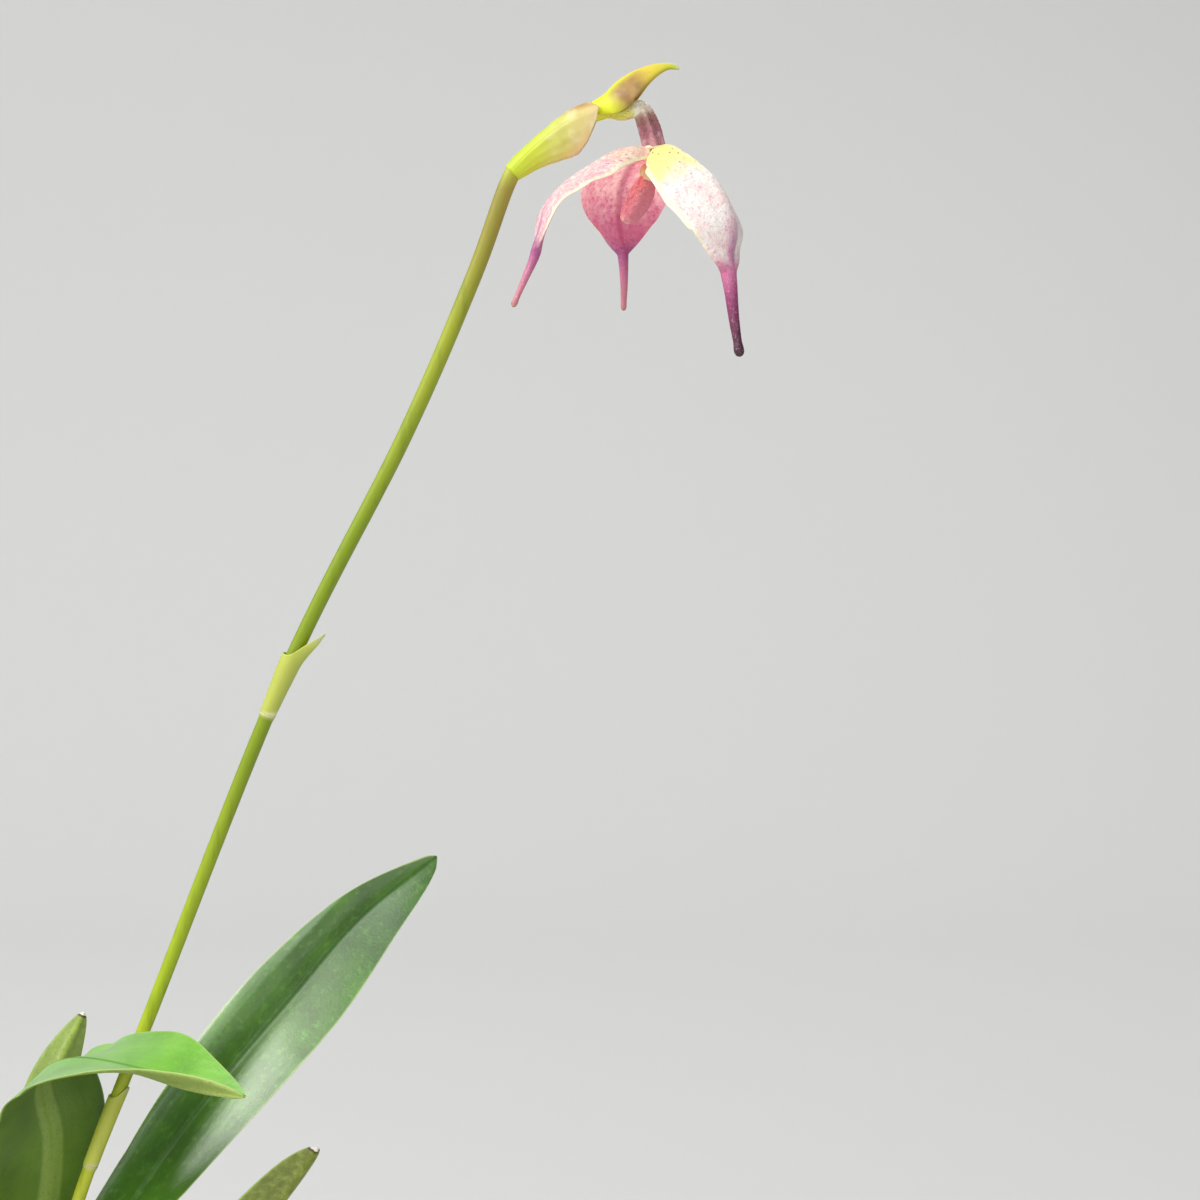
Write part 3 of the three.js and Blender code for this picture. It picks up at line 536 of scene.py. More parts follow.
# %% A folded blade as a function of two parameters
def section_loop(columns):
    """v from -1 to 1 over the upper face and back under it, closer together near the margins, and
    which side each point is on: 0 above, 1 below, a half at the margins."""
    x = np.linspace(-1, 1, columns + 1)
    v = np.sin(x * math.pi / 2)
    loop = np.concatenate([v, v[-2:0:-1]])
    under = np.concatenate([np.zeros(columns + 1), np.ones(columns - 1)])
    under[[0, columns]] = 0.5
    return loop, under


# %% A blade as rings of points
def lumps(t, v, seed, count=7):
    """A soft unevenness: a few slow waves with seeded directions and phases."""
    draw = np.random.default_rng(seed)
    total = np.zeros(np.broadcast(t, v).shape)
    for _ in range(count):
        along, aside, phase = draw.uniform(2, 16), draw.uniform(-2.2, 2.2), draw.uniform(0, 6.28)
        total += np.sin(along * t + aside * v + phase) / count
    return total


def blade_rings(spine, start, rows, columns, facing, fold, other, half_width, thickness, keel,
                ripple, roll=0):
    """Upper face: the spine's point, plus out and up by the bent section times the half width. The
    lower face lies below it by the thickness, which falls to nothing at the margin as the square
    root of 1 - v^12, plus the keel. A roll turns one margin back by roll (|v| - 0.4)^2 half widths."""
    loop, under = section_loop(columns)
    t, v = np.meshgrid(1 - (1 - np.linspace(0, 1, rows)) ** 1.12, loop, indexing="ij")
    s = start + (spine.length - start) * t
    point, direction, share = spine.at(s)
    face, across = square_to(direction, between(facing, share))
    half = half_width(t)
    slopes = np.where((v < 0)[..., None], between(other, t), between(fold, t))
    out, up, slope, side = folded_section(slopes, v, EDGE)
    back = (v < 0) * roll * smoothstep(t, 0.1, 0.35) * (1 - smoothstep(t, 0.75, 0.98))
    margin = (np.abs(v) - 0.4).clip(0)
    up = up - back * margin**2
    slope = slope - np.arctan(2 * back * margin)
    upper = point + across * (out * half)[..., None] + face * (up * half + ripple(t, v))[..., None]
    normal = face * np.cos(slope)[..., None] - across * (side * np.sin(slope))[..., None]
    depth = thickness * np.sqrt(np.clip(1 - v**12, 0, 1)) + keel * hill(v, KEEL_WIDTH)
    depth = depth * rounded_end(t, 0.96, 0.04)
    rings = upper - normal * (depth * (under[None] > 0.6))[..., None]
    under = np.broadcast_to(under, t.shape)
    return rings, {"along": t, "across": v * half, "edge": 1 - np.abs(v), "under": under}


# %% A leaf's blade
def leaf_piece(name, leaf, number, paint):
    """A leaf's blade, with a rounded tip and waves that differ between its two halves."""
    leaf = {**USUAL, **leaf}
    spine = Spine(leaf["midrib"])

    def half_width(t):
        width = blade_width(t, FOOT_HALF, TIP_HALF, leaf["width"], leaf["power"], leaf["fullness"])
        return width * rounded_end(t, 0.985, 0.02)

    def ripple(t, v):
        phase = 2 * math.pi * leaf["waves"] * t + np.where(v > 0, 0, 2)
        swell = leaf["wave"] * np.sin(phase) * v * v
        return np.sin(math.pi * t) * (swell + 0.28 * np.abs(v) ** 1.5 * lumps(t * 2, v, number))

    fold = [FOOT_FOLD, *leaf["fold"]]
    other = [FOOT_FOLD, *leaf.get("other", leaf["fold"])]
    rings, marks = blade_rings(spine, BLADE_START, *BLADE_GRID, leaf["facing"], fold, other, half_width,
                               THICKNESS, KEEL, ripple, leaf["roll"])
    left = (1 - marks["along"]) * spine.length
    marks["dry"] = np.clip(1.4 - left / leaf["dry"], 0, 1)
    marks["tint"] = np.full(left.shape, leaf["tint"])
    blade = skin_piece(f"blade_{name}", rings, paint, marks)
    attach(blade, "root")
    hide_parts(f"leaf_{name}")


# %% [markdown]
# ## The leaf's finish
# The upper face is a full green with a waxy coat, and tiny cells break up its highlights. Below,
# the leaf is duller and more olive, with a paler keel. The thin margin is yellower where light
# comes through it, and the very tip is dry and white behind a brown line.


# %% Leaf paint
def leaf_paint():
    p = Paint("leaf_skin")
    across, along, edge, under = (p.mark(k) for k in ("across", "along", "edge", "under"))
    clouds = p.noise(9, 3)
    mottle = p.noise(1.6, 3, 0.6)
    grain = p.noise(0.5, 2)
    cells = p.cells(0.6)
    nerves = p.wave(across * 3.6)

    full = p.ramp(clouds, [(0.25, (56, 98, 0)), (0.5, (72, 124, 4)), (0.8, (96, 152, 24))])
    # The paler green that a leaf's tint moves the upper face to: partly a younger leaf's colour, partly
    # painted light.
    young = p.ramp(clouds, [(0.25, (92, 160, 4)), (0.5, (110, 182, 18)), (0.8, (132, 200, 44))])
    top = p.mix(full, young, p.mark("tint"))
    top = p.mix(top, (150, 212, 100), p.step(mottle, 0.5, 0.75) * 0.25)
    top = p.mix(top, (40, 88, 4), p.step(grain, 0.55, 0.75) * 0.2 + nerves * 0.05)
    # Painted shade: the upper face darkens along the midrib's groove.
    top = p.mix(top, (48, 96, 6), p.step(abs(across), 0.9, 0.0) * 0.5)
    # Underside: a deep, saturated green towards the foot and olive towards the tip. Partly the leaf's own
    # colour, partly painted light: the deep green stands for an underside in shade with light shining
    # through it, the olive for one in full light.
    deep = p.ramp(clouds, [(0.25, (72, 106, 0)), (0.55, (90, 128, 2)), (0.85, (108, 144, 16))])
    olive = p.ramp(mottle, [(0.3, (106, 116, 26)), (0.55, (134, 146, 50)), (0.75, (164, 176, 82))])
    # The tint also pales the underside: partly its own colour, partly painted light on leaves in full
    # light.
    olive = p.mix(olive, (176, 206, 100), p.mark("tint") * 0.6)
    band = p.step(abs(across + 0.4), 2.9, 2.0) * 0.55
    base = p.mix(deep, olive, band)
    base = p.mix(base, olive, p.step(along, 0.55, 0.75) * 0.85)
    base = p.mix(base, (78, 88, 24), p.step(grain, 0.55, 0.72) * 0.4)
    skin = p.mix(top, base, p.step(under, 0.45, 0.55))
    skin = p.mix(skin, (176, 204, 104), p.step(edge, 0.04, 0.0) * 0.7)
    skin = p.mix(skin, (150, 160, 80), p.step(along, 0.12, 0.0) * 0.7)
    dry = p.mark("dry")
    skin = p.mix(skin, (74, 50, 26), p.step(dry, 0.3, 0.6) * 0.9)
    skin = p.mix(skin, (236, 232, 216), p.step(dry, 0.75, 0.9))

    fold = p.step(abs(across), 0.8, 0.15)
    relief = p.step(cells, 0.0, 0.7) * 0.4 + grain * 0.5 + nerves * 0.3 + mottle * 0.7
    return p.finish(
        Base_Color=skin,
        Roughness=p.step(under, 0.45, 0.55, 0.34, 0.55) + mottle * 0.1 + fold * 0.4,
        Normal=p.bump(relief, 0.05),
        Specular_IOR_Level=1.0,
        Coat_Weight=p.step(under, 0.45, 0.55, 0.8, 0.0) * (1 - fold),
        Coat_Roughness=0.36,
        **flesh(0.15, (0.5, 1.0, 0.1), 0.0012),
    )


LEAF_PAINT = leaf_paint()
for number, (name, leaf) in enumerate(LEAVES.items()):
    leaf_piece(name, leaf, number, LEAF_PAINT)
print("leaves:", len(LEAVES))

# %% [markdown]
# ## Leaf stems
# Under each blade is a slim stem in two papery sheaths. A sheath hugs the stem, widens a little
# and ends in a slanting mouth, so its edge is a function of the angle round the stem.


# %% Stems with their sheaths
STEM_RADIUS = 1.5
SHEATHS = [(12, 24), (25, 35)]


def sheath_rims(angle):
    """For each sheath its foot, its mouth's mean place, and the slanting rim at each angle."""
    for number, (foot, mouth) in enumerate(SHEATHS):
        yield foot, mouth, mouth + 1.2 * np.cos(angle + 2.2 * number)


def stem_radius(s, angle):
    """The stem's own radius, plus each sheath from its foot to its slanting mouth."""
    radius = STEM_RADIUS + 0.3 * (1 - smoothstep(s, 0, ROOTED + 10))
    for foot, mouth, rim in sheath_rims(angle):
        sheath = 0.12 + 0.36 * smoothstep(s, foot, mouth)
        radius = radius + sheath * (s > foot) * (1 - smoothstep(s, rim, rim + 0.25))
    return radius


def sheath_mark(s, angle):
    """1 on a sheath, 0 on the bare stem."""
    mark = np.zeros_like(s)
    for foot, _, rim in sheath_rims(angle):
        mark = np.maximum(mark, (s > foot) * (1 - smoothstep(s, rim, rim + 0.2)))
    return mark


def stem_paint():
    p = Paint("leaf_stem_skin")
    sheath, along = p.mark("sheath"), p.mark("along")
    streaks = p.noise(1.2, 3, stretch=(1, 1, 0.12))
    fibres = p.noise(0.35, 2, stretch=(1, 1, 0.05))
    green = p.ramp(streaks, [(0.3, (92, 116, 42)), (0.7, (134, 152, 70))])
    green = p.mix(green, (150, 160, 96), p.step(along, 24, 14))
    paper = p.ramp(streaks, [(0.3, (128, 100, 62)), (0.55, (172, 148, 104)), (0.75, (198, 182, 140))])
    paper = p.mix(paper, (96, 66, 36), p.step(fibres, 0.55, 0.72) * 0.7)
    return p.finish(
        Base_Color=p.mix(green, paper, sheath * 0.9),
        Roughness=0.5 + sheath * 0.25,
        Normal=p.bump(fibres + streaks * 0.5, 0.12),
    )


STEM_PAINT = stem_paint()
for name, leaf in LEAVES.items():
    spine = Spine(leaf["midrib"])
    rings, s, angle = tube(spine, 0, ROOTED + LEAF_STEM, 120, 28, (0, 1, 0), stem_radius)
    stem = skin_piece(f"stalk_{name}", rings, STEM_PAINT, {"sheath": sheath_mark(s, angle), "along": s})
    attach(stem, "root")
    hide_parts(f"stem_{name}")
print("leaf stems:", len(LEAVES))

# %% [markdown]
# ## The flower stem
# It is round, slender and nearly straight. At each joint there is a pale ring, and from it a thin
# bract wraps the stem and lets go of it in a small clear tip. The bract is an open sleeve: its
# outer skin runs up, over the slanting mouth and down again inside.

# %% The flower stem's curve and thickness
SCAPE = Spine([[3, -6, 66], [3.2, -6, 84], [6.8, -4.6, 112], [14.3, -3.4, 140.3], [29.8, -4, 179.6],
               [56.8, -4, 246.4], [81.1, -5.5, 294.1], [95, -6.5, 325.4], [102.4, -7, 345],
               [107, -7, 350.4], [113.6, -7, 355.6], [121.4, -7, 358.3]])
STEM_BRACTS = [dict(joint=147.5, mouth=161.5, tip=164.5, lean=(1, -0.4, 0.2), swell=0.12, tip_out=0.1),
               dict(joint=239.5, mouth=251, tip=257.5, lean=(1, -0.3, 0.1), swell=0.5, tip_out=2.0)]
JOINTS = [SCAPE.length_at_height(b["joint"]) for b in STEM_BRACTS]


def scape_thickness(s):
    """The stem's radius grows evenly along its length."""
    return 1.2 + 0.45 * s / SCAPE.length


def scape_radius(s, angle):
    """A slow taper, a slight swelling at each joint, and the faintest ribs."""
    joint = sum(0.22 * hill(s - j, 0.7) for j in JOINTS)
    return scape_thickness(s) + joint + 0.02 * np.cos(9 * angle)


# %% A bract round the flower stem
def bract_rings(bract, rows=48, around=40):
    """A sleeve round the stem whose rim reaches further on the side that it leans to. Its radius
    grows from joint to mouth, and past the mouth it moves off the stem towards its tip."""
    start, mouth, tip = (SCAPE.length_at_height(bract[k]) for k in ("joint", "mouth", "tip"))
    angle = circle(around)
    lean = (0.5 + 0.5 * np.cos(angle)) ** 4
    skins = []
    for inset in (0.0, 0.16):
        t = np.linspace(0, 1, rows)[:, None]
        s = start + (mouth - start + (tip - mouth) * lean[None]) * t
        point, direction, _ = SCAPE.at(s)
        face, across = square_to(direction, np.array(bract["lean"], float))
        free = smoothstep(s, mouth - 2, tip)
        radius = scape_thickness(s) + 0.24 + bract["swell"] * smoothstep(s, start, mouth) - inset
        point = point + face * (bract["tip_out"] * free * lean[None])[..., None]
        ring = face * np.cos(angle)[None, :, None] + across * np.sin(angle)[None, :, None]
        skins.append(point + ring * radius[..., None])
    return np.vstack([skins[0], skins[1][::-1]])


# %% Flower stem paint and pieces
def scape_paint():
    p = Paint("flower_stem_skin")
    height, ring, sleeve = p.mark("height"), p.mark("ring"), p.mark("sleeve")
    streaks = p.noise(1.6, 3, stretch=(1, 1, 0.1))
    grain = p.noise(0.3, 2)
    level = p.step(height, 130, 360)
    skin = p.ramp(level, [(0.0, (206, 212, 60)), (0.1, (172, 190, 24)), (0.4, (130, 152, 2)),
                          (0.7, (132, 154, 4)), (0.9, (158, 168, 32)), (0.97, (150, 140, 48)),
                          (0.986, (150, 140, 50)), (0.994, (196, 214, 40)), (1.0, (230, 236, 56))])
    skin = p.mix(skin, (112, 132, 14), p.step(streaks, 0.5, 0.75) * 0.45)
    skin = p.mix(skin, (222, 224, 112), sleeve * 0.5)
    skin = p.mix(skin, (226, 222, 164), ring)
    skin = p.mix(skin, (196, 200, 170), p.step(sleeve, 1.2, 2.0) * 0.7)
    return p.finish(
        Base_Color=skin,
        Roughness=0.42 + grain * 0.12,
        Normal=p.bump(streaks * 0.7 + grain * 0.5, 0.06),
        **flesh(0.1, (0.6, 1.0, 0.2), 0.001),
    )


SCAPE_PAINT = scape_paint()
rings, s, angle = tube(SCAPE, 0, SCAPE.length, 620, 26, (0, 1, 0), scape_radius)
marks = {"height": rings[..., 2], "ring": sum(hill(s - j, 0.45) for j in JOINTS), "sleeve": s * 0}
scape = skin_piece("flower_stem", rings, SCAPE_PAINT, marks)
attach(scape, "root")
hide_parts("scape")
for number, bract in enumerate(STEM_BRACTS):
    rings = bract_rings(bract)
    height = rings[..., 2]
    tipward = 1 + 1.2 * smoothstep(height, bract["mouth"], bract["tip"])
    marks = {"height": height, "ring": hill(height - bract["joint"], 0.5), "sleeve": tipward}
    sleeve = sleeve_piece(f"stem_bract_{number + 1}", rings, SCAPE_PAINT, marks)
    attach(sleeve, "root")
print("flower stem length", round(SCAPE.length), "mm, joints at", [round(float(j)) for j in JOINTS])

# %% [markdown]
# ## The two floral bracts
# Under the flower the stem passes through an inflated bract, like a small pouch cut open at its
# top, and a second, folded bract stands over the stem's end like a hood. Both are thin: green where
# they are young and rose-brown where they dry, with nerves that run from foot to mouth.

# %% The pouch
POUCH = dict(
    spine=[[102.9, -7, 346.1], [107.3, -7, 350.4], [113.6, -7, 355], [121.1, -7, 358.3]],
    above=[1.9, 1.9, 2.1, 2.8, 2.6], below=[1.9, 3.5, 5.5, 6.2, 4.2], side=[1.9, 2.7, 3.5, 3.6, 3.2],
    under=0.42, over=0.14)


def pouch_rings(rows=90, around=96):
    """Each ring is an oval with its own reach above, below and to the sides. The rings lean back on
    the under side, so the mouth slants. Nerves stand out as low ridges."""
    spine = Spine(POUCH["spine"])
    t, angle = np.meshgrid(np.linspace(0, 1, rows), circle(around), indexing="ij")
    down, aside = np.cos(angle), np.sin(angle)
    cut_back = POUCH["under"] * (0.5 + 0.5 * down) ** 3 + POUCH["over"] * (0.5 - 0.5 * down) ** 3
    s = spine.length * t * (1 - cut_back)
    share = s / spine.length
    point, direction, _ = spine.at(s)
    face, across = square_to(direction, np.array([0.3, 0, -1.0]))
    below = (0.5 + 0.5 * np.tanh(6 * down))
    reach = between(POUCH["below"], share) * below + between(POUCH["above"], share) * (1 - below)
    half = between(POUCH["side"], share)
    nerves = 0.05 * np.cos(16 * angle) * np.sin(math.pi * t) + 0.14 * lumps(t * 2.4, aside * 1.5, 31)
    skins = []
    for inset in (0.0, 0.3):
        thin = inset * (1 - t**8 * 0.6)
        skins.append(point + face * ((reach + nerves - thin) * down)[..., None]
                     + across * ((half + nerves - thin) * aside)[..., None])
    marks = {"along": np.vstack([t, t[::-1]]), "down": np.vstack([down, down[::-1]])}
    return np.vstack([skins[0], skins[1][::-1]]), marks


def pouch_paint():
    p = Paint("pouch_skin")
    along, down = p.mark("along"), p.mark("down")
    streaks = p.noise(1.5, 3, stretch=(0.35, 1, 0.35))
    clouds = p.noise(3.5, 3)
    skin = p.ramp(along, [(0.0, (196, 216, 44)), (0.3, (206, 218, 62)), (0.6, (214, 214, 110)),
                          (0.85, (228, 210, 136)), (1.0, (226, 196, 140))])
    ridge = p.step(down, -0.3, -0.95) * p.step(along, 0.62, 0.95)
    skin = p.mix(skin, (178, 126, 58), ridge * 0.85)
    skin = p.mix(skin, (190, 214, 30), p.step(down, -0.1, -0.9) * p.step(along, 0.8, 0.5) * 0.6)
    pale = p.step(clouds, 0.45, 0.7) * p.step(along, 0.3, 0.7)
    skin = p.mix(skin, (244, 234, 190), pale * 0.6)
    skin = p.mix(skin, (196, 188, 84), p.step(streaks, 0.5, 0.8) * 0.4)
    return p.finish(
        Base_Color=skin,
        Roughness=0.44 + clouds * 0.12,
        Normal=p.bump(streaks + p.noise(0.4, 2) * 0.3, 0.12),
        **flesh(0.2, (0.9, 1.0, 0.3), 0.0015),
    )


rings, marks = pouch_rings()
pouch = sleeve_piece("pouch_bract", rings, pouch_paint(), marks)
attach(pouch, "root")
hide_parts("floral_bract_lower")
print("pouch points:", len(pouch.data.vertices))

# %% The hood
HOOD = dict(
    spine=[[118.6, -7, 359.3], [121.2, -7, 361], [124.2, -7, 363.8], [128.4, -7, 366], [132.6, -7, 366.8],
           [135.4, -7, 366.1]],
    facing=[[0.42, 0, -0.9], [0.6, 0, -0.8], [0.2, 0, -1], [0, 0, -1]],
    fold=[[0, 118], [10, 80], [15, 70], [15, 60]])


def hood_width(t):
    """Widest at a third of the length, so that the hood ends in a long point."""
    return blade_width(t, 3.6, 0.4, 6.6, 0.62, 1.25)


def hood_paint():
    p = Paint("hood_skin")
    along, edge = p.mark("along"), p.mark("edge")
    streaks = p.noise(1.3, 3, stretch=(0.3, 1, 0.3))
    clouds = p.noise(2.4, 3)
    green = p.ramp(along, [(0.0, (222, 232, 40)), (0.3, (224, 224, 56)), (0.6, (232, 206, 74)),
                           (0.85, (214, 204, 60)), (0.95, (200, 212, 70)), (1.0, (232, 232, 170))])
    tan = p.mix((176, 136, 82), (148, 106, 68), p.step(clouds, 0.35, 0.65))
    patch = p.step(edge, 0.9, 0.45) * p.step(along, 0.1, 0.26) * p.step(along, 0.72, 0.45)
    skin = p.mix(green, tan, patch * 0.95)
    skin = p.mix(skin, (150, 132, 60), p.step(streaks, 0.5, 0.8) * 0.35)
    return p.finish(
        Base_Color=skin,
        Roughness=0.45 + clouds * 0.1,
        Normal=p.bump(streaks + clouds * 0.4, 0.12),
        **flesh(0.15, (0.9, 1.0, 0.3), 0.0012),
    )


def hood_ripple(t, v):
    """A slight unevenness, none at the ends."""
    return 0.12 * np.sin(math.pi * t) * lumps(t * 2, v, 12)


rings, marks = blade_rings(Spine(HOOD["spine"]), 0, 90, 32, HOOD["facing"], HOOD["fold"], HOOD["fold"],
                           hood_width, 0.5, 0.0, hood_ripple)
hood = skin_piece("hood_bract", rings, hood_paint(), marks)
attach(hood, "root")
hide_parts("floral_bract_upper")
print("hood points:", len(hood.data.vertices))

# %% [markdown]
# ## Ovary
# The flower's stalk thickens at once into the ovary: six ribs with grooves between them, purple
# brown and glistening, pale where it leaves the stem.

# %% The ovary's ribs and warts
OVARY = Spine([[122.2, -7, 358], [124.4, -7, 357.7], [126.3, -7, 358.2], [128, -7, 358.2],
               [128.9, -7, 356.5], [129.8, -7, 354], [130.2, -7, 352.35]])
OVARY_RADII = [1.5, 1.55, 1.65, 1.85, 2.15, 2.3, 2.3]


def ovary_radius(s, angle):
    """Radii along the length, six rounded ribs that fade in, and low warts."""
    t = np.clip(s / OVARY.length, 0, 1)
    ribs = 0.16 * smoothstep(t, 0.25, 0.6) * np.cos(6 * angle)
    return between(OVARY_RADII, t) + ribs + 0.05 * lumps(t * 9, 3 * np.sin(angle), 5, 12)


def ovary_paint():
    p = Paint("ovary_skin")
    along, groove = p.mark("along"), p.mark("groove")
    warts = p.cells(0.42)
    clouds = p.noise(1.6, 3)
    skin = p.ramp(along, [(0.0, (230, 232, 60)), (0.3, (232, 226, 120)), (0.42, (255, 252, 232)),
                          (0.5, (248, 236, 214)), (0.6, (192, 150, 136)), (0.7, (164, 108, 106)),
                          (0.9, (182, 112, 128)), (1.0, (214, 150, 160))])
    # Painted shade: darker purple in the grooves between the ribs.
    skin = p.mix(skin, (116, 58, 62), groove * p.step(along, 0.45, 0.65) * 0.5)
    specks = p.step(p.noise(0.4, 2), 0.56, 0.68) * p.step(along, 0.52, 0.68)
    skin = p.mix(skin, (78, 30, 38), specks * 0.6)
    skin = p.mix(skin, (232, 200, 204), p.step(clouds, 0.55, 0.72) * 0.45)
    return p.finish(
        Base_Color=skin,
        Roughness=0.26 + clouds * 0.2,
        Normal=p.bump(p.step(warts, 0.55, 0.0) + clouds * 0.3, 0.14),
        Coat_Weight=0.4,
        Coat_Roughness=0.15,
        **flesh(0.1, (1.0, 0.4, 0.4), 0.001),
    )


rings, s, angle = tube(OVARY, -0.7, OVARY.length + 1.3, 110, 60, (0, 1, 0), ovary_radius)
marks = {"along": s / OVARY.length, "groove": 0.5 - 0.5 * np.cos(6 * angle)}
ovary = skin_piece("ribbed_ovary", rings, ovary_paint(), marks)
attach(ovary, "root")
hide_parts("ovary")
print("ovary length", round(OVARY.length, 1), "mm")

# %% [markdown]
# ## The flower
# Three sepals hang round the flower's middle and are grown together at their base. Each is a hollowed
# blade with a fleshy midrib that runs on into a round tail. Its skin is granular, as if sugared, so
# the relief is partly in the mesh and partly in the bump.

# %% Sepal shapes
CENTRE = np.array([130.5, -7.0, 351.0])
SEPAL_START = 1.2
SEPAL_EDGE = 0.1
SEPAL_THICKNESS, RIB, GRAIN = 0.3, 0.45, 0.035
CLOSES = 0.86
SEPALS = {
    "dorsal": dict(
        azimuth=-41, width=11.6, blade=36.2, tail=1.55, knob=1, shoulder=(0.3, 0.12),
        fold=[[24, 60], [32, 42], [1, 35]],
        midline=[[0, 0], [3.9, -0.1], [6.9, 1.3], [10.5, 3.6], [14.6, 6.9], [17.7, 11.2], [19.3, 15.2],
                 [19.4, 18.2], [18.5, 22.9], [19.2, 28], [20.1, 34], [21.5, 40.6]]),
    "left": dict(
        azimuth=193.2, width=9.2, blade=34.5, tail=1, knob=0.5,
        fold=[[18, 71], [3, 37], [-4, 12], [-6, -1]],
        midline=[[0, 0], [4.8, 0.2], [8.5, 1.4], [11.6, 3.4], [15.3, 5.9], [18.9, 8.8], [21.4, 12.5],
                 [22.7, 17.4], [24, 21.8], [25.9, 26], [28.1, 31]]),
    "right": dict(
        azimuth=114.8, width=10.2, blade=31.4, tail=1.12, knob=0.2, fold=[[0, 46], [-5, 31], [-6, 40]],
        midline=[[0, 0], [5.2, 0.2], [11.2, 3], [15.3, 7.6], [16.3, 13.5], [14.3, 19.5], [13.6, 25.2],
                 [13.8, 31.4]]),
}


# %% A sepal as a function of two parameters
def sepal_rings(sepal, seed, rows=190, columns=34):
    """The midline lies in the upright plane at the sepal's azimuth. The half width follows a sine
    arch but never leaves the sepal's third of the circle. Past 0.86 of the blade the section closes
    from a hollowed sheet into the round tail, which ends in a rounded knob."""
    loop, under = section_loop(columns)
    t, v = np.meshgrid(np.linspace(0, 1, rows), loop, indexing="ij")
    spine = Spine([[r, 0, h] for r, h in sepal["midline"]])
    s = SEPAL_START + (spine.length - SEPAL_START) * (1 - (1 - t) ** 1.15)
    flat, direction, _ = spine.at(s)
    azimuth = math.radians(sepal["azimuth"])
    outward = np.array([math.cos(azimuth), math.sin(azimuth), 0])
    down = np.array([0, 0, -1.0])
    across = np.array([-outward[1], outward[0], 0])
    centre = CENTRE + flat[..., :1] * outward + flat[..., 2:] * down
    along = direction[..., :1] * outward + direction[..., 2:] * down
    inner = np.cross(along, across)
    inner = inner * np.sign((inner * (down - outward)).sum(-1, keepdims=True))

    share = np.minimum(s / sepal["blade"], 1)
    end = np.maximum(s - sepal["blade"], 0) / (spine.length - sepal["blade"])
    knob = 0.25 * sepal["knob"] * smoothstep(end, 0.8, 0.93)
    tail_half = (sepal["tail"] * (1 - 0.55 * end**0.75) + knob) * rounded_end(end, 0.93, 0.01)

    fold = between(sepal["fold"], share)
    out, up, slope, side = folded_section(fold, v, SEPAL_EDGE)
    margin_out = bent_section(fold, np.ones_like(v))[0]
    free = sepal["width"] * np.sin(math.pi * (0.2 + 0.8 * share) ** 1.5).clip(0) ** 0.85
    left_side = smoothstep(-v, 0, 0.3)
    early, late = sepal.get("shoulder", (0, 0))
    free = free * (1 + left_side * (early * hill(share - 0.05, 0.15) - late * hill(share - 0.6, 0.17)))
    third = (1.1 + 3 * early * left_side) * math.tan(math.radians(60)) * flat[..., 0] / margin_out
    close = 1 - smoothstep(share, 0.985, 1)
    half = np.hypot(np.minimum(free, third) * close, tail_half * smoothstep(share, 0.2, 0.8))

    ripple = 0.35 * np.sin(math.pi * share) * np.abs(v) ** 2 * lumps(share * 2, v, seed)
    sheet = centre + across * (out * half)[..., None] + inner * (up * half + ripple)[..., None]
    normal = inner * np.cos(slope)[..., None] - across * (side * np.sin(slope))[..., None]
    round_ = smoothstep(share, CLOSES, 1)[..., None]
    rib = RIB * hill(v, 0.14) * smoothstep(share, 0.1, 0.5) * (under > 0.5)
    leafy = SEPAL_THICKNESS * np.sqrt(np.clip(1 - v**10, 0, 1)) + rib
    bulge = leafy * (1 - round_[..., 0]) + tail_half * np.sqrt(np.clip(1 - v * v, 0, 1)) * round_[..., 0]
    base = sheet * (1 - round_) + (centre + across * (v * half)[..., None]) * round_
    rise = normal * (1 - round_) + inner * round_
    rise = rise / np.linalg.norm(rise, axis=-1, keepdims=True)
    facing = np.where(under > 0.75, -1.0, np.where(under < 0.25, 1.0, 0.0))
    grains = GRAIN * np.random.default_rng(seed).uniform(-1, 1, s.shape) * (facing != 0)
    rings = base + rise * (bulge * facing + grains * facing)[..., None]
    marks = {"share": share, "tail": end, "across": v, "inside": 1 - np.broadcast_to(under, s.shape)}
    return rings, marks
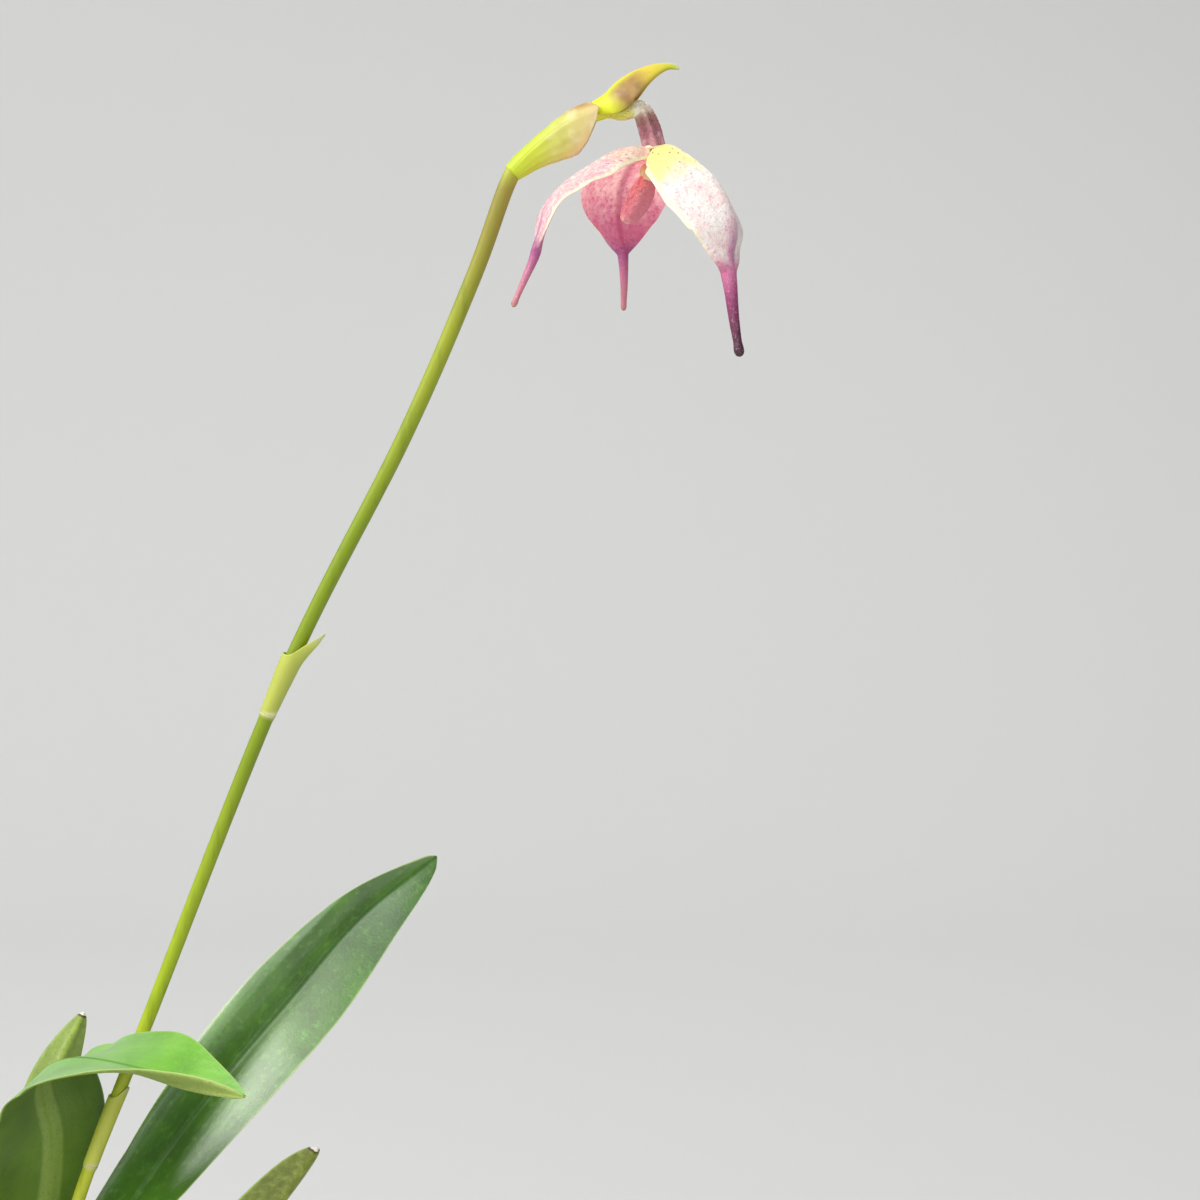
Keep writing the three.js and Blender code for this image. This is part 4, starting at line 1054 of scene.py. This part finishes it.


# %% [markdown]
# ### The sepals' colours
# Outside they are white, mottled with rose, yellow with dark dots where they meet the ovary, and
# cream along the margin. Inside they are deeper rose, with a red throat that is partly the sepal's own
# red and partly painted shade deep in the cup, and dark specks. The midrib and the tail are purple.
# Every zone is a mask on the sepal's own two measures, broken up by noise, so no edge is a clean line.
# The inside, but not the tail, glows faintly with its own colour: painted light that brightens the shaded
# cup.


# %% Sepal paint
def sepal_paint():
    p = Paint("sepal_skin")
    share, tail, across, inside, dusk = (p.mark(k) for k in ("share", "tail", "across", "inside", "dusk"))
    middle = abs(across)
    clouds = p.noise(3.4, 3)
    mottle = p.noise(0.9, 3, 0.65)
    grain = p.noise(0.36, 2, 0.6)
    dots = p.cells(1.1)

    pale = p.mix((254, 246, 238), (246, 206, 206), p.step(clouds, 0.35, 0.75) * 0.6)
    pale = p.mix(pale, (226, 152, 176), p.step(mottle, 0.5, 0.72) * 0.6)
    pale = p.mix(pale, (214, 130, 158), p.step(grain, 0.56, 0.7) * 0.3)
    pink = p.mix(pale, (232, 156, 176), (1 - dusk) * p.step(mottle, 0.3, 0.6) * 0.75)
    yellow = p.step(share + (clouds - 0.5) * 0.3, 0.4, 0.2)
    outer = p.mix(pink, (250, 236, 140), yellow * (dusk * 0.7 + 0.25))
    specks = p.step(dots, 0.26, 0.12) * p.step(clouds, 0.4, 0.6) * p.step(share, 0.5, 0.3)
    outer = p.mix(outer, (150, 74, 90), specks * 0.8)
    outer = p.mix(outer, (255, 244, 206), p.step(middle, 0.84, 0.96) * 0.8)
    rib = p.step(middle, 0.3, 0.06) * p.step(share, 0.6, 0.88)
    outer = p.mix(outer, (176, 92, 150), rib * 0.75)

    deep = p.mix((255, 214, 208), (244, 170, 180), p.step(clouds, 0.3, 0.7))
    deep = p.mix(deep, (202, 90, 128), p.step(mottle, 0.5, 0.7) * 0.65)
    deep = p.mix(deep, (255, 228, 212), p.step(mottle, 0.46, 0.28) * 0.75)
    deep = p.mix(deep, (172, 76, 122), p.step(share + (mottle - 0.5) * 0.3, 0.4, 0.86) * 0.8)
    # Red towards the base inside: partly the sepal's own red throat, partly painted shade deep in the cup.
    deep = p.mix(deep, (226, 74, 76), p.step(share + (clouds - 0.5) * 0.3, 0.36, 0.08) * 0.8)
    speckle = p.step(dots, 0.24, 0.1) * p.step(share, 0.62, 0.4)
    deep = p.mix(deep, (150, 30, 44), speckle * 0.75)
    vein = p.step(middle, 0.14, 0.02) * p.step(share, 0.15, 0.4)
    deep = p.mix(deep, (170, 60, 100), vein * 0.6)
    skin = p.mix(outer, deep, p.step(inside, 0.4, 0.6))

    violet = p.step(share + (mottle - 0.5) * 0.12, 0.86, 1.0)
    bright = p.ramp(tail, [(0.0, (172, 84, 138)), (0.4, (204, 122, 152)), (0.9, (204, 130, 138)),
                           (1.0, (190, 138, 118))])
    dark = p.ramp(tail, [(0.0, (206, 114, 154)), (0.3, (150, 56, 108)), (0.7, (98, 30, 66)),
                         (1.0, (58, 28, 40))])
    tail_skin = p.mix(bright, dark, dusk)
    tail_skin = p.mix(tail_skin, (226, 166, 204), p.step(grain, 0.56, 0.7) * 0.4)
    # Painted light: the inside, but not the tails, emits its own colour so that the shaded cup looks lit.
    painted_glow = p.mix((0, 0, 0), skin, p.step(inside, 0.4, 0.6) * (1 - violet))
    skin = p.mix(skin, tail_skin, violet)

    relief = grain * 0.9 + mottle * 0.7 + p.step(dots, 0.5, 0.0) * 0.3
    return p.finish(
        Base_Color=skin,
        Roughness=0.36 + mottle * 0.25,
        Normal=p.bump(relief, 0.22),
        # Painted light: the inside's colour is emitted at a fixed strength.
        Emission_Color=painted_glow,
        Emission_Strength=0.4,
        **flesh(0.25, (1.0, 0.5, 0.5), 0.0012),
        Coat_Weight=0.15,
        Coat_Roughness=0.3,
    )


# %% The sepals in one piece
def hub_rings():
    """A low round boss that the three sepals and the ovary grow from."""
    profile = np.array([[0.3, 0.6], [1.5, 0.55], [2.1, 0.35], [2.4, 0.1], [2.4, -0.2], [2.0, -0.5],
                        [0.3, -0.55]])
    return CENTRE + turned(profile[:, :1], profile[:, 1:], circle(48))


skins, sepal_marks = [], {}
for number, (name, sepal) in enumerate(SEPALS.items()):
    rings, marks = sepal_rings(sepal, 40 + number)
    skins.append(rings)
    marks["dusk"] = np.full(marks["share"].shape, float(name == "dorsal"))
    for key, values in marks.items():
        sepal_marks.setdefault(key, []).append(with_ends(values))
skins.append(hub_rings())
for key, value in (("share", 0.32), ("tail", 0.0), ("across", 0.3), ("inside", 0.0), ("dusk", 0.6)):
    sepal_marks[key].append(with_ends(np.full(skins[-1].shape[:2], value)))
marks = {key: np.concatenate(values) for key, values in sepal_marks.items()}
flower = mesh_object("sepals", *joined(skins), sepal_paint(), marks)
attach(flower, "root")
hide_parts("perianth")
print("sepal faces:", len(flower.data.polygons))

# %% [markdown]
# ## Column, petals and lip
# In the flower's mouth stands the short pale column with a tiny petal on each side, and before the
# far sepal hangs the lip: a small fleshy tongue, hollowed, with a keel on each side of its middle.

# %% The column and its petals
COLUMN = Spine([[130.4, -6.9, 350.1], [129.9, -6.6, 347.3], [129.2, -6.3, 344.8]])


def petal_rings(side):
    """A stretched ball, turned a little: rings of latitude from pole to pole."""
    polar, angle = np.meshgrid(np.linspace(0.05, math.pi - 0.05, 22), circle(28), indexing="ij")
    x, y, z = np.moveaxis(turned(0.7 * np.sin(polar), 1.3 * np.cos(polar), angle), -1, 0)
    cos, sin = math.cos(math.radians(-20 * side)), math.sin(math.radians(-20 * side))
    return np.stack([x * cos + z * sin, y, z * cos - x * sin], -1) + [129.9 + 1.4 * side, -6.6, 346.7]


def column_paint():
    p = Paint("column_skin")
    clouds = p.noise(0.8, 3)
    skin = p.mix((244, 226, 168), (214, 130, 130), p.step(clouds, 0.5, 0.75) * 0.6)
    return p.finish(
        Base_Color=skin,
        Roughness=0.35 + clouds * 0.15,
        Normal=p.bump(clouds, 0.06),
        **flesh(0.2, (1.0, 0.6, 0.4), 0.001),
    )


def column_radius(s, angle):
    """Thickest near its end, and a little flattened."""
    return between([1.1, 1.15, 1.25, 0.9], s / COLUMN.length) * (1 + 0.05 * np.cos(2 * angle))


stalk = tube(COLUMN, -0.4, COLUMN.length, 30, 28, (0, 1, 0), column_radius)[0]
column = mesh_object("flower_column", *joined((stalk, petal_rings(-1), petal_rings(1))), column_paint())
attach(column, "root")
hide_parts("column")

# %% The lip
LIP = dict(spine=[[129.8, -4.4, 346.6], [128.6, -3.4, 343.6], [126.8, -2.2, 340.2], [124.8, -1.2, 336.8]],
           facing=[[0.5, 0.85, 0.1], [0.45, 0.85, 0.25]], fold=[[20, 60], [10, 50], [10, 50]])


def lip_width(t):
    """Nearly even, with a blunt tip."""
    return blade_width(t, 1.2, 0.6, 2.7, 1.2, 0.6) * rounded_end(t, 0.94, 0.05)


def lip_ripple(t, v):
    """Two low keels beside the middle, and an uneven surface."""
    keels = 0.3 * hill(np.abs(v) - 0.28, 0.1) * np.sin(math.pi * t)
    return keels + 0.1 * lumps(t * 3, v * 2, 8)


def lip_paint():
    p = Paint("lip_skin")
    along, edge, across = (p.mark(k) for k in ("along", "edge", "across"))
    clouds = p.noise(0.9, 3)
    skin = p.ramp(along, [(0.0, (226, 110, 96)), (0.4, (222, 134, 138)), (0.85, (214, 130, 144)),
                          (1.0, (240, 190, 174))])
    skin = p.mix(skin, (176, 84, 110), p.step(clouds, 0.48, 0.66) * 0.6)
    skin = p.mix(skin, (250, 214, 200), p.step(p.noise(0.35, 2), 0.56, 0.68) * 0.5)
    # Painted shade: the lip darkens towards one side of its middle, its hollow side.
    skin = p.mix(skin, (166, 92, 104), p.step(across + clouds * 0.6, 0.1, 1.2) * 0.75)
    skin = p.mix(skin, (248, 206, 190), p.step(edge, 0.12, 0.0) * 0.45)
    return p.finish(
        Base_Color=skin,
        Roughness=0.3 + clouds * 0.2,
        Normal=p.bump(clouds + p.noise(0.3) * 0.5, 0.18),
        # Painted light: the lip emits its own colour, so it glows faintly as if lit.
        Emission_Color=skin,
        Emission_Strength=0.32,
        **flesh(0.2, (1.0, 0.4, 0.4), 0.001),
    )


rings, marks = blade_rings(Spine(LIP["spine"]), 0, 60, 28, LIP["facing"], LIP["fold"], LIP["fold"],
                           lip_width, 0.8, 0.3, lip_ripple)
lip = skin_piece("flower_lip", rings, lip_paint(), marks)
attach(lip, "root")
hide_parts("lip")
print("lip points:", len(lip.data.vertices))

# %% [markdown]
# ## The clay pot
# An unglazed pot thrown on a wheel: a tapered wall under a thick rim band, softened edges, and
# holes in the floor. The outline is drawn with few points, its corners are cut twice over, which
# rounds them, and it is carried round the axis. The holes are cut with a Boolean modifier.

# %% Pot shape
POT_OUTLINE = [[0.01, 0], [32.8, 0], [34, 1.2], [46, 71.2], [48.5, 72], [50, 88.8], [48.8, 90], [47.2, 90],
               [46, 88.8], [30, 7], [28, 5], [0.01, 5]]
HOLES, HOLE_RADIUS, HOLE_PLACE = 4, 5, 17


def rounded_outline(outline, rounds=2, keep=1.1):
    """Every corner is replaced by two points, at most so many millimetres from it, and again."""
    points = np.array(outline, float)
    for turn in range(rounds):
        reach = keep / 2**turn
        before, after = points[:-2] - points[1:-1], points[2:] - points[1:-1]
        lengths = [np.linalg.norm(d, axis=1, keepdims=True) for d in (before, after)]
        near = [points[1:-1] + d * np.minimum(0.33, reach / n) for d, n in zip((before, after), lengths)]
        points = np.vstack([points[:1], np.stack(near, 1).reshape(-1, 2), points[-1:]])
    return points


def spread(outline, gap):
    """Extra points along the long stretches, so that the relief has something to move."""
    pieces = []
    for a, b in zip(outline[:-1], outline[1:]):
        count = max(1, int(np.linalg.norm(b - a) / gap))
        pieces.append(a + (b - a) * (np.arange(count) / count)[:, None])
    return np.vstack([*pieces, outline[-1:]])


# %% The pot and its holes
def pot_piece(paint):
    """The outline's radius and height carried round the axis, with a thrower's faint waves in the
    radius. Then each hole is cut with a rod."""
    outline = spread(rounded_outline(POT_OUTLINE), 2.2)
    angle = circle(160)
    r, z = outline[:, :1], outline[:, 1:]
    wall = smoothstep(r, 20, 30) * smoothstep(z, 4, 10) * (1 - smoothstep(z, 84, 87))
    throwing = 0.07 * np.sin(z * 1.7) + 0.05 * np.sin(z * 0.63 + 1) + 0.06 * np.sin(2 * angle + z * 0.05)
    r = r + wall * throwing
    pot = skin_piece("clay_pot", turned(r, z, angle), paint)
    rod = turned(HOLE_RADIUS, np.array([[-10.0], [20.0]]), circle(40))
    cutters = []
    for number in range(HOLES):
        middle = turned(HOLE_PLACE, 0, 2 * math.pi * (number + 0.5) / HOLES)
        cutters.append(mesh_object(f"hole_{number}", *capped(rod + middle), paint, smooth=False))
        drill = pot.modifiers.new(f"hole_{number}", "BOOLEAN")
        drill.operation = "DIFFERENCE"
        drill.object = cutters[-1]
    bpy.context.view_layer.update()
    cut = bpy.data.meshes.new_from_object(pot.evaluated_get(bpy.context.evaluated_depsgraph_get()))
    pot.modifiers.clear()
    pot.data = cut
    for cutter in cutters:
        bpy.data.objects.remove(cutter)
    return pot


# %% Pot paint
def clay_paint():
    p = Paint("terracotta")
    height = p.mark("height")
    clouds = p.noise(26, 4)
    grain = p.noise(0.8, 3)
    sand = p.cells(1.4)
    bands = p.noise(5, 2, stretch=(0.15, 0.15, 1))
    clay = p.ramp(clouds, [(0.3, (164, 88, 56)), (0.5, (184, 104, 68)), (0.75, (198, 122, 84))])
    clay = p.mix(clay, (150, 76, 48), p.step(bands, 0.5, 0.7) * 0.35)
    clay = p.mix(clay, (214, 152, 116), p.step(grain, 0.55, 0.75) * 0.4)
    clay = p.mix(clay, (120, 66, 44), p.step(sand, 0.16, 0.05) * 0.4)
    bloom = p.step(clouds + bands * 0.35 - height * 0.004, 0.66, 0.86)
    clay = p.mix(clay, (222, 208, 192), bloom * 0.5)
    return p.finish(
        Base_Color=clay,
        Roughness=0.82 + grain * 0.12,
        Normal=p.bump(grain * 0.6 + bands * 0.5 + p.step(sand, 0.2, 0.0) * -0.4, 0.16),
    )


pot = pot_piece(clay_paint())
heights = np.array([v.co.z for v in pot.data.vertices], np.float32) / np.float32(MM)
pot.data.attributes.new("height", "FLOAT", "POINT").data.foreach_set("value", heights)
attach(pot, "root")
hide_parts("pot")
print("pot faces:", len(pot.data.polygons), "height", round(float(heights.max()), 1), "mm")

# %% [markdown]
# ## Moss
# The plant stands in living moss. A base of low mounds closes the pot, and thousands of tiny leafy
# shoots stand on it, each with a few pointed leaves. The mounds come from the same seeded rule as
# the solid's, and every shoot is one small shape, turned, tilted and scaled by seeded draws.

# %% The moss base
MOSS_EDGE = 43.73
MOSS_FOOT = 5.3


def seeded(state):
    """The solid's own rule for draws between 0 and 1."""
    while True:
        state = (state * 1664525 + 1013904223) % 4294967296
        yield state / 4294967296


def moss_mounds(count=34):
    """Place, radius and height of each round mound, drawn evenly over the circle."""
    draw = seeded(7)
    rows = []
    for _ in range(count):
        angle = 2 * math.pi * next(draw)
        distance = MOSS_EDGE * math.sqrt(next(draw))
        radius, height = 6 + 5 * next(draw), 0.8 + 1.8 * next(draw)
        rows.append((distance * math.cos(angle), distance * math.sin(angle), radius, height))
    return np.array(rows)


MOUNDS = moss_mounds()


def moss_height(x, y):
    """The highest of the round mounds at a place, easing to the flat edge."""
    away = (x[..., None] - MOUNDS[:, 0]) ** 2 + (y[..., None] - MOUNDS[:, 1]) ** 2
    rise = (MOUNDS[:, 3] * np.exp(-away / (MOUNDS[:, 2] / 1.6) ** 2)).max(-1)
    return SOIL + rise * (1 - smoothstep(np.hypot(x, y), MOSS_EDGE - 3, MOSS_EDGE))


def moss_base(paint):
    """Circles from the edge inwards at the moss's height, with fine lumps. Below them is a tapered foot."""
    angle = circle(180)
    radius = (np.linspace(0.2, 1, 50) ** 0.6 * MOSS_EDGE)[::-1]
    x, y = radius[:, None] * np.cos(angle), radius[:, None] * np.sin(angle)
    rough = 0.35 * lumps(x * 0.25, y * 0.8, 3, 9) * (radius[:, None] < MOSS_EDGE - 1)
    top = np.stack([x, y, moss_height(x, y) + rough], -1)
    foot = np.array([[0.5, MOSS_FOOT], [27.5, MOSS_FOOT], [29.7, MOSS_FOOT + 2.1]])
    rings = np.concatenate([turned(foot[:, :1], foot[:, 1:], angle), top])
    return skin_piece("moss_bed", rings, paint, {"tone": np.full(rings.shape[:2], 0.3)})


def moss_paint():
    p = Paint("moss_green")
    tone = p.mark("tone")
    clouds = p.noise(9, 3)
    grain = p.noise(0.6, 2)
    green = p.ramp(tone * 0.7 + clouds * 0.3, [
        (0.1, (58, 60, 22)), (0.35, (84, 98, 28)), (0.6, (124, 140, 42)), (0.85, (168, 178, 70)),
        (1.0, (196, 190, 120))])
    green = p.mix(green, (70, 56, 30), p.step(grain, 0.55, 0.75) * 0.3)
    return p.finish(
        Base_Color=green,
        Roughness=0.7 + grain * 0.15,
        Normal=p.bump(grain, 0.2),
        **flesh(0.08, (0.6, 1.0, 0.3), 0.0006),
    )


MOSS_PAINT = moss_paint()
bed = moss_base(MOSS_PAINT)
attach(bed, "root")
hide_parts("moss")
print("moss bed points:", len(bed.data.vertices))


# %% The moss shoots
def shoot_shape(leaves=9):
    """A shoot one unit tall: narrow leaves in a rising spiral, each two triangles folded at its middle."""
    k = np.arange(leaves)
    turn, foot = k * 2.4, 0.15 + 0.6 * k / leaves
    lean = 1.15 - 0.75 * k / leaves
    length = 0.62 - 0.2 * k / leaves
    out = np.stack([np.cos(turn), np.sin(turn), np.zeros(leaves)], -1)
    aside = np.stack([-np.sin(turn), np.cos(turn), np.zeros(leaves)], -1)
    up = np.array([0, 0, 1.0])
    root = foot[:, None] * up
    tip = root + length[:, None] * (out * np.sin(lean)[:, None] + up * np.cos(lean)[:, None])
    middle = root * 0.55 + tip * 0.45
    left, right = middle + aside * 0.1 + up * 0.04, middle - aside * 0.1 + up * 0.04
    points = np.stack([root, left, tip, right], 1).reshape(-1, 3)
    start = np.arange(leaves)[:, None] * 4
    return points, np.vstack([start + [0, 1, 2], start + [0, 2, 3]])


def moss_shoots(paint, count=8600):
    """Each shoot's points are turned by its own three directions, scaled, and set on the moss."""
    draw = np.random.default_rng(21)
    shape, triangles = shoot_shape()
    radius = (MOSS_EDGE - 0.6) * np.sqrt(draw.uniform(0, 1, count))
    angle = draw.uniform(0, 2 * math.pi, count)
    x, y = radius * np.cos(angle), radius * np.sin(angle)
    height = moss_height(x, y) - 0.25
    tilt = draw.normal(0, 0.28, (count, 2))
    up = np.concatenate([tilt, np.ones((count, 1))], -1)
    up = up / np.linalg.norm(up, axis=1, keepdims=True)
    spin = draw.uniform(0, 2 * math.pi, count)
    flat = np.stack([np.cos(spin), np.sin(spin), np.zeros(count)], -1)
    face, aside = square_to(up, flat)
    size = draw.uniform(0.9, 1.9, count)[:, None, None]
    directions = np.stack([face, aside, up], 1)
    points = (shape[None] * size) @ directions + np.stack([x, y, height], -1)[:, None]
    faces = triangles[None] + (np.arange(count) * len(shape))[:, None, None]
    tone = np.repeat(draw.uniform(0.2, 1, count), len(shape)) * 0.75 + np.tile(shape[:, 2], count) * 0.3
    return mesh_object("moss_shoots", points.reshape(-1, 3), [faces.reshape(-1, 3)], paint,
                       {"tone": tone}, smooth=False)


shoots = moss_shoots(MOSS_PAINT)
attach(shoots, "root")
print("moss shoots triangles:", len(shoots.data.polygons))
